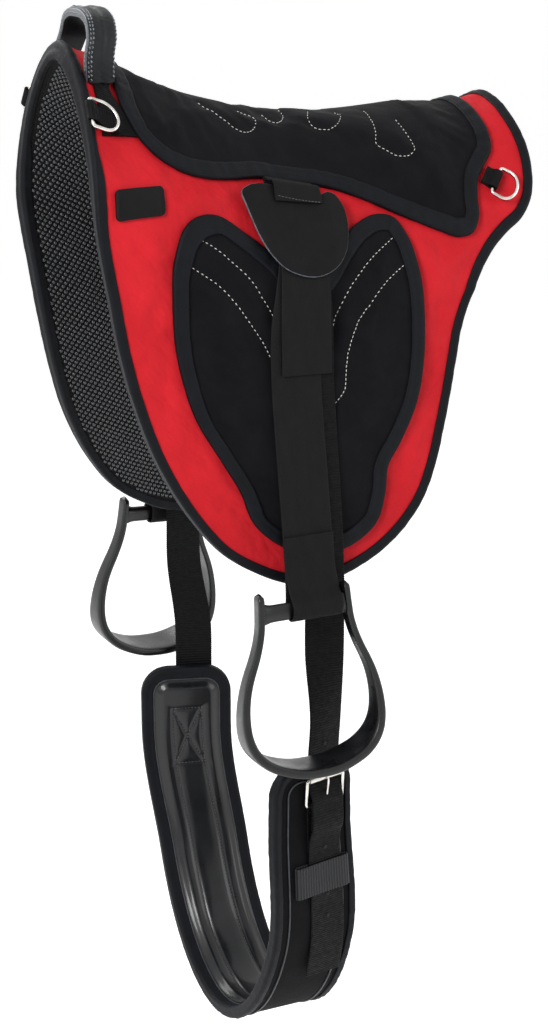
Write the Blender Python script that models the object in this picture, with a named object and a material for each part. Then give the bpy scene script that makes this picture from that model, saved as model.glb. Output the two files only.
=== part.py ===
# Bareback pad with knee pads, grab handle, stirrups and a girth buckled to its billets.
# Metres, +Z up. X runs from the pommel (-X) to the cantle (+X). The near side is at -Y.
# The origin is the underside of the pad's spine at mid-length.
#
# What is sewn is cut flat first. A flat point is (x, run): x along the horse, run measured
# down the side from the spine. on_back() lays it over the horse's back at a given height.
# The girth has its own map, on_girth(), with s down from its end, w across and h outwards.

import bpy
import bmesh
import numpy as np
from math import pi, cos, sin, tan, radians
from mathutils import Matrix, Vector
from mathutils.geometry import delaunay_2d_cdt

# Horse's back: the surface that the pad lies on
pad_length = 0.440
pommel_rise = 0.0815
pommel_fullness_share = 0.7
cantle_rise = 0.0245
cantle_power = 2.75
front_half_width = 0.095
rear_half_width = 0.121
width_power = 2.4
arch_depth = 0.137
arch_power = 1.7
arch_run = 0.185
flare_out = 0.027
flare_top = 0.1525
flare_end = 0.4025

# Pad layers and the clearances between sewn layers
pad_drop = 0.440
lining_thickness = 0.0020
foam_thickness = 0.0095
cover_thickness = 0.0015
gap = 0.0003
lip_gap = 0.0009
wall_gap = 0.0008
lay_gap = 0.0010
strap_gap = 0.0004
tape = 0.0012
binding_width = 0.0120
pommel_lip_share = 0.45
pommel_lip_run = 0.150
outline_step = 0.028
corner_extra = 0.020
arch_row_count = 6
flap_row = 0.040
slope_probe = 0.0005

# Seat and knee pads
seat_drop = 0.145
seat_front_inset = 0.033
seat_crown = 0.0085
seat_front_share = 0.12
seat_full_x = -0.045
seat_thin_length = 0.120
cushion_edge = 0.0010
cushion_skin = 0.0018
crown_run = 0.050
knee_half_length = 0.118
knee_margin = 0.032
knee_x = -0.037
knee_top = 0.122
knee_crown = 0.0070
channel_depth = 0.0022
channel_half_width = 0.0085
cushion_step = 0.027

# Patch on the near side
patch_inset = 0.036
patch_run = 0.1565
patch_length = 0.044
patch_height = 0.022
patch_corner = 0.004
patch_thickness = 0.0016

# Grab handle and the webbing under its feet
handle_inset = 0.0170
handle_lean = 0.0225
handle_width = 0.0265
handle_thickness = 0.0075
handle_ridge = 0.0016
handle_half_span = 0.0585
handle_height = 0.0508
handle_foot_run = 0.050
handle_foot_length = 0.011
webbing_thickness = 0.0018
pommel_web_inset = 0.0085
pommel_web_top = 0.043
pommel_web_bottom = 0.116
pommel_web_length = 0.034
web_middle = 0.010

# Tie rings and their chapes
ring_wire = 0.0032
ring_width = 0.028
ring_depth = 0.0245
ring_chape_width = 0.0164
ring_corner_share = 0.185
ring_bar_gap = 0.0007
ring_chape_length = 0.024
front_ring_overhang = 0.0015
front_ring_run = 0.1015
rear_ring_share = 0.7955
rear_ring_run = 0.1085
rear_ring_turn_degrees = 45
rear_chape_length = 0.0125
ring_lap = 0.0075
ring_lift_share = 0.16

# Leather tab, its hanger and the steel loop that carries the stirrup strap
carrier_x = -0.037
seat_exit_run = 0.0908
loop_run = 0.118
loop_height = 0.018
loop_wire = 0.0044
loop_inner_width = 0.0505
stirrup_web_width = 0.047
stirrup_web_thickness = 0.0020
carrier_lap = 0.012
tab_top = 0.104
tab_drop = 0.063
tab_half_length = 0.052
tab_thickness = 0.0028
tab_edge_height = 0.0205
tab_rise_run = 0.022
hanger_end = 0.116
hanger_width = 0.049
hanger_start_height = 0.0205
hanger_seat_gap = 0.0012

# Stirrup strap and stirrup
strap_x_by_side = {-1: -0.0490, 1: -0.0375}
strap_stand_off = 0.0080
strap_settle_run = 0.205
strap_tail_run = 0.250
bar_run = 0.4545
plumb_run = 0.438
bar_half_height = 0.0080
bar_half_depth = 0.0045
bar_loop_radius = 0.0093
strap_overlap = 0.060
stirrup_lead = -0.0085
stirrup_roll_share = 0.045
stirrup_half_width = 0.0690
stirrup_height = 0.180
stirrup_top = 0.020
stirrup_step = 0.0135
stirrup_wall = 0.0066
tread_wall = 0.0100
post_depth = 0.0150
tread_depth = 0.0460
stirrup_tilt_degrees = 4.3
bar_seat_gap = 0.0005

# Billet
billet_x = -0.031
billet_width = 0.0381
billet_hang = 0.500
flap_station_count = 6
hole_pitch = 0.026
hole_radius = 0.0022
hole_clearance = 0.0006

# Girth
girth_end_x = -0.0375
girth_belly_x = -0.027
girth_shift_start = 0.060
girth_shift_length = 0.140
girth_top = 0.563
girth_half_span = 0.154
girth_bend_top = 0.640
girth_bottom = 0.877
girth_width = 0.090
girth_thickness = 0.0085
girth_corner = 0.026
girth_turn_degrees = 16
girth_border = 0.0135
girth_lip_share = 0.30
girth_step = 0.034
lining_gap = 0.0020
lining_swell = 0.0050
lining_edge = 0.0018
girth_tail_length = 0.235

# Buckle, its chape and the keeper
buckle_offset = 0.0095
tail_offset = 0.0155
tail_lift = 0.0050
buckle_wire = 0.0036
buckle_inner_width = 0.0410
buckle_top = 0.012
buckle_length = 0.026
roller_wall = 0.0011
roller_end_gap = 0.0006
tongue_wire = 0.0022
buckle_chape_width = 0.036
buckle_chape_lift = 0.0008
buckle_chape_lap = 0.024
buckle_chape_tail = 0.047
slot_half_width = 0.0040
tongue_slot_length = 0.0112
keeper_start = 0.0985
keeper_band = 0.033
keeper_half_width = 0.031
keeper_offset = 0.0065
keeper_thickness = 0.0015
cutter_overrun = 0.0030

# Outlines as shares of the sizes that they follow, from front to rear
pad_outline_shares = [
    (-1.0, 0.0), (-1.0, 0.14), (-1.004, 0.30), (-1.0, 0.41), (-0.985, 0.47), (-0.955, 0.55),
    (-0.914, 0.66), (-0.864, 0.757), (-0.782, 0.859), (-0.673, 0.932), (-0.545, 0.98),
    (-0.40, 0.996), (-0.22, 0.998), (-0.02, 0.970), (0.10, 0.943), (0.20, 0.910),
    (0.28, 0.873), (0.34, 0.835), (0.395, 0.78), (0.45, 0.70), (0.49, 0.63), (0.523, 0.560),
    (0.555, 0.486), (0.60, 0.428), (0.65, 0.39), (0.718, 0.359), (0.80, 0.336),
    (0.87, 0.322), (0.93, 0.295), (0.97, 0.245), (0.99, 0.184), (0.995, 0.114), (1.0, 0.0)]
seat_outline_shares = [
    (-1.0, 0.0), (-1.0, 0.31), (-0.994, 0.540), (-0.955, 0.676), (-0.876, 0.755),
    (-0.748, 0.779), (-0.631, 0.748), (-0.487, 0.683), (-0.326, 0.607), (-0.187, 0.598),
    (-0.053, 0.602), (0.045, 0.634), (0.177, 0.717), (0.30, 0.814), (0.40, 0.885),
    (0.486, 0.945), (0.568, 0.993), (0.63, 0.985), (0.664, 0.92), (0.68, 0.814),
    (0.709, 0.703), (0.764, 0.621), (0.818, 0.545), (0.845, 0.43), (0.855, 0.25), (0.855, 0.0)]
knee_outline_shares = [
    (-1.0, 0.343), (-0.983, 0.220), (-0.915, 0.143), (-0.797, 0.094), (-0.644, 0.070),
    (-0.466, 0.087), (-0.220, 0.126), (-0.076, 0.164), (0.059, 0.178), (0.195, 0.143),
    (0.364, 0.073), (0.534, 0.021), (0.695, 0.0), (0.822, 0.010), (0.898, 0.056),
    (0.958, 0.140), (1.0, 0.290), (0.992, 0.413), (0.924, 0.545), (0.763, 0.671),
    (0.636, 0.748), (0.602, 0.825), (0.517, 0.916), (0.331, 0.972), (0.0, 1.0),
    (-0.297, 0.993), (-0.449, 0.958), (-0.551, 0.867), (-0.686, 0.790), (-0.847, 0.699),
    (-0.949, 0.570)]
knee_channel_shares = [
    [(-0.78, 0.150), (-0.602, 0.164), (-0.373, 0.210), (-0.220, 0.297)],
    [(-0.83, 0.222), (-0.669, 0.238), (-0.449, 0.315), (-0.280, 0.416), (-0.229, 0.503)],
    [(0.76, 0.075), (0.576, 0.115), (0.356, 0.192), (0.212, 0.318)],
    [(0.82, 0.145), (0.576, 0.203), (0.381, 0.322), (0.305, 0.490), (0.127, 0.587)]]
tab_outline_shares = [
    (-0.50, 0.0), (-0.86, 0.05), (-1.0, 0.16), (-0.955, 0.32), (-0.89, 0.49), (-0.80, 0.68),
    (-0.66, 0.85), (-0.45, 0.955), (-0.17, 1.0), (0.14, 1.0), (0.42, 0.945), (0.66, 0.84),
    (0.83, 0.70), (0.925, 0.53), (0.97, 0.30), (0.94, 0.12), (0.84, 0.0), (0.70, -0.02),
    (0.50, 0.03), (0.0, 0.02)]
stirrup_outline_shares = [
    (0.615, 0.0), (0.62, 0.054), (0.65, 0.13), (0.707, 0.228), (0.775, 0.337), (0.86, 0.457),
    (0.952, 0.576), (1.0, 0.685), (0.993, 0.783), (0.917, 0.864), (0.772, 0.924),
    (0.566, 0.965), (0.303, 0.992), (0.0, 1.0)]
handle_arch_shares = [
    (-1.0, 0.32, 0.15), (-0.985, 0.60, 0.27), (-0.80, 0.85, 0.40), (-0.47, 0.975, 0.52),
    (0.0, 1.0, 0.68), (0.47, 0.975, 0.84), (0.80, 0.85, 0.96), (0.985, 0.60, 1.0),
    (1.0, 0.32, 0.75)]

# Values that follow from the sizes above
half_length = pad_length / 2
knee_drop = pad_drop - knee_top - knee_margin
seat_front_reach = half_length - seat_front_inset
handle_x = -half_length + handle_inset
pommel_web_front = -half_length + pommel_web_inset
pommel_web_rear = pommel_web_front + pommel_web_length
front_ring_x = -half_length - front_ring_overhang
rear_ring_x = half_length * rear_ring_share
patch_x = -half_length + patch_inset
foam_low = lining_thickness + gap
foam_high = foam_low + foam_thickness
cover_low = foam_high + gap
pad_top = cover_low + cover_thickness
lay_height = pad_top + lay_gap
cushion_rim = cushion_edge + gap + cushion_skin
billet_half = webbing_thickness / 2
strap_half = stirrup_web_thickness / 2


# Looks of the separate pieces: sRGB colour, roughness, metallic
def srgb(code):
    parts = [int(code[i:i + 2], 16) / 255 for i in (1, 3, 5)]
    return [c / 12.92 if c < 0.04045 else ((c + 0.055) / 1.055) ** 2.4 for c in parts]


def look(name, code, roughness, metallic=0.0):
    material = bpy.data.materials.new(name)
    material.use_nodes = True
    shader = material.node_tree.nodes["Principled BSDF"]
    shader.inputs["Base Color"].default_value = srgb(code) + [1.0]
    shader.inputs["Roughness"].default_value = roughness
    shader.inputs["Metallic"].default_value = metallic
    return material


# The horse's back
def spine_height(x):
    front = np.clip(-x / half_length, 0, None)
    rear = np.clip(x / half_length, 0, None)
    pommel = pommel_rise * front ** 2 * (1 + pommel_fullness_share * (1 - front))
    return pommel + cantle_rise * rear ** cantle_power


def back_half_width(x):
    along = np.clip((half_length - x) / pad_length, 0, None)
    return rear_half_width - (rear_half_width - front_half_width) * along ** width_power


def ease(share):
    share = np.clip(share, 0, 1)
    return share * share * (3 - 2 * share)


def back_surface(x, run):
    down = np.abs(run)
    turn = np.clip(down / arch_run, 0, 1) * pi / 2
    reach = (np.sin(turn) ** arch_power + np.cos(turn) ** arch_power) ** (-1 / arch_power)
    z = spine_height(x) - arch_depth * (1 - np.cos(turn) * reach)
    z = z - np.clip(down - arch_run, 0, None)
    y = back_half_width(x) * np.sin(turn) * reach
    y = y + flare_out * ease((-flare_top - z) / (flare_end - flare_top))
    return np.stack([x, np.sign(run) * y, z], axis=-1)


def slopes(x, run):
    along = back_surface(x + slope_probe, run) - back_surface(x - slope_probe, run)
    down = back_surface(x, run + slope_probe) - back_surface(x, run - slope_probe)
    return along / (2 * slope_probe), down / (2 * slope_probe)


def on_back(x, run, height):
    """Point at the given height off the back. The near side has a negative run."""
    x, run, height = np.broadcast_arrays(np.asarray(x, float), run, height)
    along, down = slopes(x, run)
    normal = np.cross(along, down)
    normal = normal / np.linalg.norm(normal, axis=-1, keepdims=True)
    return back_surface(x, run) + normal * height[..., None]


def level_slope(x, run):
    """How much run changes with x along a level line on the side of the back."""
    along, down = slopes(np.float64(x), np.float64(run))
    return -along[2] / down[2]


# Girth path: a straight drop from the near end, then a half ellipse under the belly
def girth_path():
    bend = np.linspace(0, pi / 2, 120)
    y = np.concatenate([[girth_half_span], girth_half_span * np.cos(bend)])
    depth = girth_bottom - girth_bend_top
    z = np.concatenate([[-girth_top], -girth_bend_top - depth * np.sin(bend)])
    s = np.concatenate([[0.0], np.cumsum(np.hypot(np.diff(y), np.diff(z)))])
    return s, y, z


path_s, path_y, path_z = girth_path()
girth_half_run = path_s[-1]


def on_girth(s, w, h, side=-1):
    """Point on the girth: s from its end, w across, h outwards from its outer face."""
    s, w, h = np.broadcast_arrays(np.asarray(s, float), w, h)
    far_half = s > girth_half_run
    s = np.where(far_half, 2 * girth_half_run - s, s)
    inner = np.clip(s, path_s[1] / 2, girth_half_run - slope_probe)
    y0, y1 = (np.interp(inner + e, path_s, path_y) for e in (-slope_probe, slope_probe))
    z0, z1 = (np.interp(inner + e, path_s, path_z) for e in (-slope_probe, slope_probe))
    length = np.hypot(y1 - y0, z1 - z0)
    out_y = -(z1 - z0) / length
    out_z = (y1 - y0) / length
    at_bottom = ease((s - (girth_half_run - outline_step)) / outline_step)
    out_y = out_y * (1 - at_bottom)
    out_z = out_z * (1 - at_bottom) - at_bottom
    size = np.hypot(out_y, out_z)
    out_y = out_y / size
    out_z = out_z / size
    turn = radians(girth_turn_degrees) * (1 - ease(s / girth_half_run))
    across_out = -np.sin(turn) * w + np.cos(turn) * h
    shift = ease((s - girth_shift_start) / girth_shift_length)
    centre = girth_end_x + (girth_belly_x - girth_end_x) * shift
    x = centre + np.cos(turn) * w + np.sin(turn) * h
    y = np.interp(s, path_s, path_y) + out_y * across_out
    above = np.clip(-s, 0, None)
    z = np.interp(s, path_s, path_z) + above + out_z * across_out
    near = np.where(far_half, -side, side)
    return np.stack([x, near * y, z], axis=-1)


# Mesh helpers
def finish_object(name, vertices, faces, material, origin=None, smooth=40):
    mesh = bpy.data.meshes.new(name)
    mesh.from_pydata([tuple(p) for p in vertices], [], [tuple(f) for f in faces])
    shape = bmesh.new()
    shape.from_mesh(mesh)
    bmesh.ops.recalc_face_normals(shape, faces=shape.faces)
    shape.to_mesh(mesh)
    shape.free()
    mesh.materials.append(material)
    if smooth:
        mesh.shade_smooth()
        mesh.set_sharp_from_angle(angle=radians(smooth))
    piece = bpy.data.objects.new(name, mesh)
    bpy.context.scene.collection.objects.link(piece)
    if origin is not None:
        mesh.transform(Matrix.Translation(-Vector(origin)))
        piece.location = Vector(origin)
    return piece


def spline(before, start, end, after):
    """Fine points of the smooth curve between each start and end."""
    fine = []
    for t in np.linspace(0, 1, 12, endpoint=False):
        fine.append(0.5 * (2 * start + (end - before) * t
                           + (2 * before - 5 * start + 4 * end - after) * t ** 2
                           + (3 * start - before - 3 * end + after) * t ** 3))
    return np.stack(fine, axis=1).reshape(-1, start.shape[1])


def divided(line, step, extra):
    """The line divided evenly, with more points where it turns."""
    run = np.linalg.norm(np.diff(line, axis=0), axis=1)
    heading = np.unwrap(np.arctan2(np.diff(line[:, 1]), np.diff(line[:, 0])))
    bend = np.abs(np.diff(heading, append=heading[-1]))
    length = np.concatenate([[0], np.cumsum(run + np.clip(bend, 0, 1) * extra)])
    count = max(8, round(length[-1] / step))
    at = np.linspace(0, length[-1], count + 1)
    return np.stack([np.interp(at, length, column) for column in line.T], axis=-1)


def closed_curve(points, step):
    points = np.array(points, float)
    fine = spline(np.roll(points, 1, 0), points, np.roll(points, -1, 0), np.roll(points, -2, 0))
    return divided(np.vstack([fine, fine[:1]]), step, corner_extra)[:-1]


def open_curve(points, step, extra=0.0):
    points = np.array(points, float)
    ends = np.vstack([2 * points[0] - points[1], points, 2 * points[-1] - points[-2]])
    fine = spline(ends[:-3], ends[1:-2], ends[2:-1], ends[3:])
    return divided(np.vstack([fine, points[-1:]]), step, extra)


def mirrored_loop(half_points):
    """Closed loop over both sides of the spine from a half outline that starts on it."""
    far = list(half_points)
    near = [(x, -run) for x, run in half_points[1:-1]]
    return far + near[::-1]


def turned_inwards(ring):
    tangent = np.roll(ring, -1, 0) - np.roll(ring, 1, 0)
    tangent = tangent / np.linalg.norm(tangent, axis=1, keepdims=True)
    normal = np.stack([-tangent[:, 1], tangent[:, 0]], axis=-1)
    area = np.sum(ring[:, 0] * np.roll(ring[:, 1], -1) - ring[:, 1] * np.roll(ring[:, 0], -1))
    return normal * np.sign(area)


def distance_to(points, line, closed):
    ends = np.roll(line, -1, 0) if closed else line[1:]
    starts = line if closed else line[:-1]
    best = np.full(len(points), np.inf)
    for a, b in zip(starts, ends):
        along = np.clip((points - a) @ (b - a) / max((b - a) @ (b - a), 1e-18), 0, 1)
        best = np.minimum(best, np.linalg.norm(points - a - along[:, None] * (b - a), axis=1))
    return best


def is_inside(points, ring):
    inside = np.zeros(len(points), bool)
    for (x0, y0), (x1, y1) in zip(ring, np.roll(ring, -1, 0)):
        crosses = (y0 > points[:, 1]) != (y1 > points[:, 1])
        rise = y1 - y0 if y1 != y0 else 1
        inside ^= crosses & (points[:, 0] < x0 + (points[:, 1] - y0) * (x1 - x0) / rise)
    return inside


def grid_points(low, high, fine):
    """Staggered grid that all layers share, wider along x on the flaps unless it is fine."""
    row_height = arch_run / arch_row_count
    rows = [(k * row_height, k, row_height) for k in range(arch_row_count + 1)]
    below = round(pad_drop / flap_row)
    rows += [(arch_run + k * flap_row, k, row_height if fine else 2 * row_height)
             for k in range(1, below)]
    points = []
    for run, number, spacing in rows:
        count = round(pad_length / spacing)
        x = np.linspace(-half_length, half_length, count + 1)
        x = x + (pad_length / count / 2 if number % 2 else 0)
        for side in (-1, 1) if run > 0 else (1,):
            points += [(a, side * run) for a in x]
    points = np.array(points)
    return points[((points > low) & (points < high)).all(axis=1)]


class Cut:
    """A flat piece of material: its points, its triangles and how far in each point lies."""

    def __init__(self, outline, rim, grid, channels=(), inner_ring=True, clear=flap_row * 0.3):
        rim = np.broadcast_to(rim, len(outline))
        inner = outline + turned_inwards(outline) * rim[:, None]
        border = inner if inner_ring else outline
        grid = grid[is_inside(grid, border)]
        keep = distance_to(grid, border, True) > clear
        extra, loops = [], [outline, inner] if inner_ring else [outline]
        for line in channels:
            line = np.array(line)
            keep &= distance_to(grid, line, False) > channel_half_width * 1.6
            extra.append(line)
            tangent = np.gradient(line, axis=0)
            tangent = tangent / np.linalg.norm(tangent, axis=1, keepdims=True)
            beside = np.stack([-tangent[:, 1], tangent[:, 0]], axis=-1) * channel_half_width
            for shoulder in (line + beside, line - beside):
                far_in = distance_to(shoulder, inner, True) > channel_half_width / 2
                extra.append(shoulder[far_in & is_inside(shoulder, inner)])
        points, edges = [], []
        for loop in loops:
            start = len(points)
            points += [Vector(p) for p in loop]
            edges += [(start + i, start + (i + 1) % len(loop)) for i in range(len(loop))]
        for row in extra + [grid[keep]]:
            points += [Vector(p) for p in row]
        result = delaunay_2d_cdt(points, edges, [], 1, 1e-7)
        self.flat = np.array([(p.x, p.y) for p in result[0]])
        self.triangles = np.array([list(face) for face in result[2]])
        self.outline = outline
        self.rim = rim
        self.inset = distance_to(self.flat, outline, True)
        self.past_rim = distance_to(self.flat, inner, True)
        self.within = is_inside(self.flat, inner) | (self.past_rim < 1e-6)
        self.channel = np.full(len(self.flat), np.inf)
        for line in channels:
            self.channel = np.minimum(self.channel, distance_to(self.flat, np.array(line), False))


def sheet(name, cut, low, high, material, place, inner_only=False, origin=None):
    """Closed slab of a cut, between the heights low and high at each of its points."""
    triangles = cut.triangles
    if inner_only:
        triangles = triangles[cut.within[triangles].all(axis=1)]
    used = np.unique(triangles)
    number = np.full(len(cut.flat), -1)
    number[used] = np.arange(len(used))
    flat = cut.flat[used]
    count = len(used)
    low = np.broadcast_to(low, len(cut.flat))[used]
    high = np.broadcast_to(high, len(cut.flat))[used]
    lower = place(flat[:, 0], flat[:, 1], low)
    upper = place(flat[:, 0], flat[:, 1], high)
    faces, edges = [], {}
    for a, b, c in number[triangles]:
        faces += [(a, b, c), (c + count, b + count, a + count)]
        for one, two in ((a, b), (b, c), (c, a)):
            edges[(one, two)] = edges.get((one, two), 0) + 1
    for one, two in edges:
        if (two, one) not in edges:
            faces.append((two, one, one + count, two + count))
    return finish_object(name, np.vstack([lower, upper]), faces, material, origin)


def edging(name, cut, section, material, place, closed_side=None):
    """Tape along a cut's outline. The section is a list of (inset share, inset, height)."""
    inward = turned_inwards(cut.outline)
    rings = []
    for share, inset, height in section:
        at = cut.outline + inward * (share * cut.rim + inset)[:, None]
        rings.append(place(at[:, 0], at[:, 1], height))
    around, count = len(rings), len(cut.outline)
    vertices = np.stack(rings, axis=1).reshape(-1, 3)
    faces = []
    for i in range(count):
        j = (i + 1) % count
        for k in range(around):
            m = (k + 1) % around
            faces.append((i * around + k, j * around + k, j * around + m, i * around + m))
    return finish_object(name, vertices, faces, material)


def slab(name, lower, upper, material, closed=False, origin=None, smooth=40):
    """Closed solid between two grids of points, stations by columns."""
    stations, columns = lower.shape[:2]
    vertices = np.vstack([lower.reshape(-1, 3), upper.reshape(-1, 3)])
    shift = stations * columns

    def at(i, j, top):
        return (i % stations) * columns + j + (shift if top else 0)

    faces = []
    last = stations if closed else stations - 1
    for i in range(last):
        for j in range(columns - 1):
            faces.append((at(i, j, 0), at(i, j + 1, 0), at(i + 1, j + 1, 0), at(i + 1, j, 0)))
            faces.append((at(i, j, 1), at(i + 1, j, 1), at(i + 1, j + 1, 1), at(i, j + 1, 1)))
        for j, flip in ((0, 1), (columns - 1, 0)):
            face = (at(i, j, 0), at(i + 1, j, 0), at(i + 1, j, 1), at(i, j, 1))
            faces.append(face[::-1] if flip else face)
    if not closed:
        for i, flip in ((0, 0), (stations - 1, 1)):
            for j in range(columns - 1):
                face = (at(i, j, 0), at(i, j, 1), at(i, j + 1, 1), at(i, j + 1, 0))
                faces.append(face[::-1] if flip else face)
    return finish_object(name, vertices, faces, material, origin, smooth)


def offsets(path, thickness):
    """Both faces of a band whose middle follows a path in a plane."""
    path = np.array(path, float)
    tangent = np.gradient(path, axis=0)
    tangent = tangent / np.linalg.norm(tangent, axis=1, keepdims=True)
    normal = np.stack([-tangent[:, 1], tangent[:, 0]], axis=-1) * thickness / 2
    return path - normal, path + normal


def arc(centre, radius, start, end, steps):
    angles = np.radians(np.linspace(start, end, steps))
    return [(centre[0] + radius * cos(a), centre[1] + radius * sin(a)) for a in angles]


def columns_of(width, count):
    return np.linspace(-width / 2, width / 2, count)


def level_at(x0, run):
    """Slant of a strap's cross lines, which turn level once they are clear of the seat."""
    return level_slope(x0, run) * ease((run - seat_exit_run) / tab_drop)


def strap_rows(path, centre, width, side, roll=0.0):
    """Rows of a strap on the back, straight across. Below the flap it hangs plumb."""
    rows = []
    for (run, height), x0 in zip(path, centre):
        across = columns_of(width, 2)
        on_flap = min(run, plumb_run)
        level = level_at(x0, on_flap) - roll * ease((on_flap - strap_settle_run) / arch_run)
        row = on_back(x0 + across, side * (on_flap + level * across), height)
        row[:, 2] -= run - on_flap
        rows.append(row)
    return np.array(rows)


def tube(name, points, radius, sides, material, closed=False, origin=None):
    """Round wire along a line of points."""
    points = np.array(points, float)
    count = len(points)
    if closed:
        tangents = np.roll(points, -1, 0) - np.roll(points, 1, 0)
    else:
        tangents = np.gradient(points, axis=0)
    tangents = tangents / np.linalg.norm(tangents, axis=1, keepdims=True)
    flat_normal = np.linalg.svd(points - points.mean(axis=0))[2][2]
    vertices, faces = [], []
    for point, tangent in zip(points, tangents):
        side = np.cross(tangent, flat_normal)
        side = side / np.linalg.norm(side)
        up = np.cross(side, tangent)
        for k in range(sides):
            angle = 2 * pi * (k + 0.5) / sides
            vertices.append(point + radius * (cos(angle) * side + sin(angle) * up))
    for i in range(count if closed else count - 1):
        j = (i + 1) % count
        for k in range(sides):
            m = (k + 1) % sides
            faces.append((i * sides + k, i * sides + m, j * sides + m, j * sides + k))
    if not closed:
        faces.append(tuple(range(sides))[::-1])
        faces.append(tuple((count - 1) * sides + k for k in range(sides)))
    return finish_object(name, vertices, faces, material, origin)


def cutter(name, vertices, faces):
    tool = finish_object(name, vertices, faces, bpy.data.materials["black webbing"])
    tool.hide_render = True
    tool.display_type = "WIRE"
    return tool


def cut_with(piece, tool):
    step = piece.modifiers.new("cut", "BOOLEAN")
    step.operation = "DIFFERENCE"
    step.solver = "EXACT"
    step.object = tool


# Pad layers
def build_pad():
    half = [(x * half_length, run * pad_drop) for x, run in pad_outline_shares]
    outline = closed_curve(mirrored_loop(half), outline_step)
    at_pommel = np.clip(1 - np.abs(outline[:, 1]) / pommel_lip_run, 0, 1)
    at_pommel = np.where(outline[:, 0] < -half_length * 0.9, ease(at_pommel * 2), 0)
    rim = binding_width * (1 - (1 - pommel_lip_share) * at_pommel)
    reach = 2 * pad_length
    cut = Cut(outline, rim, grid_points(-reach, reach, False), inner_ring=False)
    sheet("mesh_lining", cut, 0.0, lining_thickness, mesh_fabric, on_back)
    sheet("foam_core", cut, foam_low, foam_high, foam, on_back)
    sheet("outer_cover", cut, cover_low, pad_top, red_nylon, on_back)
    low, high = -2 * lip_gap, pad_top + lip_gap
    wall = -wall_gap
    bevel = tape * 0.6
    section = [(1, 0, high), (0, wall, high), (0, wall, low), (1, 0, low),
               (1, 0, low - tape), (0, wall - bevel, low - tape), (0, wall - tape, low - bevel),
               (0, wall - tape, high + bevel), (0, wall - bevel, high + tape),
               (1, 0, high + tape)]
    edging("edge_binding", cut, section, binding_tape, on_back)


# Cushions: a core on the pad, a cover over it and a binding round it
def cushion(prefix, core_name, cut, crown, cover_look, core_look, place):
    fullness = ease(np.where(cut.within, cut.past_rim, 0) / crown_run)
    rise = crown(cut.flat[:, 0]) * fullness
    sink = channel_depth * (cut.channel < channel_half_width / 2)
    core = cushion_edge + np.maximum(rise - sink, 0)
    low = lay_height + np.where(cut.within, core + gap, 0)
    high = lay_height + np.where(cut.within, core + gap + cushion_skin, cushion_rim)
    sheet(core_name, cut, lay_height, lay_height + core, core_look, place, inner_only=True)
    sheet(prefix, cut, low, high, cover_look, place)
    top = lay_height + cushion_rim + lip_gap
    wall = -wall_gap
    section = [(0, wall, lay_height), (0, wall, top), (1, 0, top), (1, 0, top + tape),
               (0, wall, top + tape), (0, wall - tape, top), (0, wall - tape, lay_height)]
    edging(prefix.replace("cover", "binding"), cut, section, binding_tape, place)


def build_seat():
    half = [(x * (seat_front_reach if x < 0 else half_length), run * seat_drop)
            for x, run in seat_outline_shares]
    outline = closed_curve(mirrored_loop(half), cushion_step)
    cut = Cut(outline, binding_width, grid_points(-half_length, half_length, True))

    def crown(x):
        full = ease((x - seat_full_x + seat_thin_length) / seat_thin_length)
        return seat_crown * (seat_front_share + (1 - seat_front_share) * full)

    cushion("seat_cover", "seat_gel_core", cut, crown, suede, gel, on_back)


def build_knee_pad(side_name, side):
    def knee_point(x, run):
        return knee_x + x * knee_half_length, knee_top + run * knee_drop

    def place(x, run, height):
        return on_back(x, side * run, height)

    outline = closed_curve([knee_point(*p) for p in knee_outline_shares], cushion_step)
    channels = [[knee_point(*p) for p in line] for line in knee_channel_shares]
    cut = Cut(outline, binding_width, grid_points(-half_length, pad_drop, True), channels)


    def crown(x):
        return np.full(len(x), knee_crown)

    cushion(side_name + "_knee_cover", side_name + "_knee_foam", cut, crown, suede, foam, place)


def build_patch():
    corners = []
    for across, down in ((-1, -1), (-1, 1), (1, 1), (1, -1)):
        x = patch_x + across * (patch_length / 2 - patch_corner)
        run = patch_run + down * (patch_height / 2 - patch_corner)
        start = {(-1, -1): 180, (-1, 1): 90, (1, 1): 0, (1, -1): 270}[across, down]
        corners += arc((x, run), patch_corner, start + 90, start, 4)
    outline = np.array(corners)
    outline[:, 1] += level_slope(patch_x, patch_run) * (outline[:, 0] - patch_x)
    cut = Cut(outline, patch_corner / 2, no_grid, inner_ring=False)

    def place(x, run, height):
        return on_back(x, -run, height)

    sheet("near_rubber_patch", cut, lay_height, lay_height + patch_thickness, rubber, place)


# Grab handle, standing on its two feet over the pommel. Its arch leans back to the far side.
def build_handle():
    foot = lay_height + webbing_thickness + strap_gap
    width = np.linspace(-1, 1, 7)
    swell = handle_ridge * np.array([0.0, 0.85, 1.0, 0.45, 1.0, 0.85, 0.0])
    base = on_back(handle_x, handle_foot_run, foot)[2]
    arch = [(y * handle_half_span, base + z * handle_height) for y, z, _ in handle_arch_shares]
    lean = [share * handle_lean for _, _, share in handle_arch_shares]
    inner, outer = offsets(arch, handle_thickness)
    lower, upper = [], []
    for (y0, z0), (y1, z1), shift in zip(inner, outer, lean):
        out = np.array([y1 - y0, z1 - z0]) / handle_thickness
        x = handle_x + shift + width * handle_width / 2
        flat = np.zeros(len(width))
        lower.append(np.stack([x, flat + y0, flat + z0], axis=-1))
        upper.append(np.stack([x, y1 + out[0] * swell, z1 + out[1] * swell], axis=-1))
    feet = []
    for side in (-1, 1):
        x = handle_x + width * handle_width / 2
        feet.append((on_back(x, side * handle_foot_run, foot),
                     on_back(x, side * (handle_foot_run + handle_foot_length), foot)))
    lower = np.array([feet[0][0]] + lower + [feet[1][0]])
    upper = np.array([feet[0][1]] + upper + [feet[1][1]])
    slab("grab_handle", lower, upper, padded_leather_look)


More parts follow.
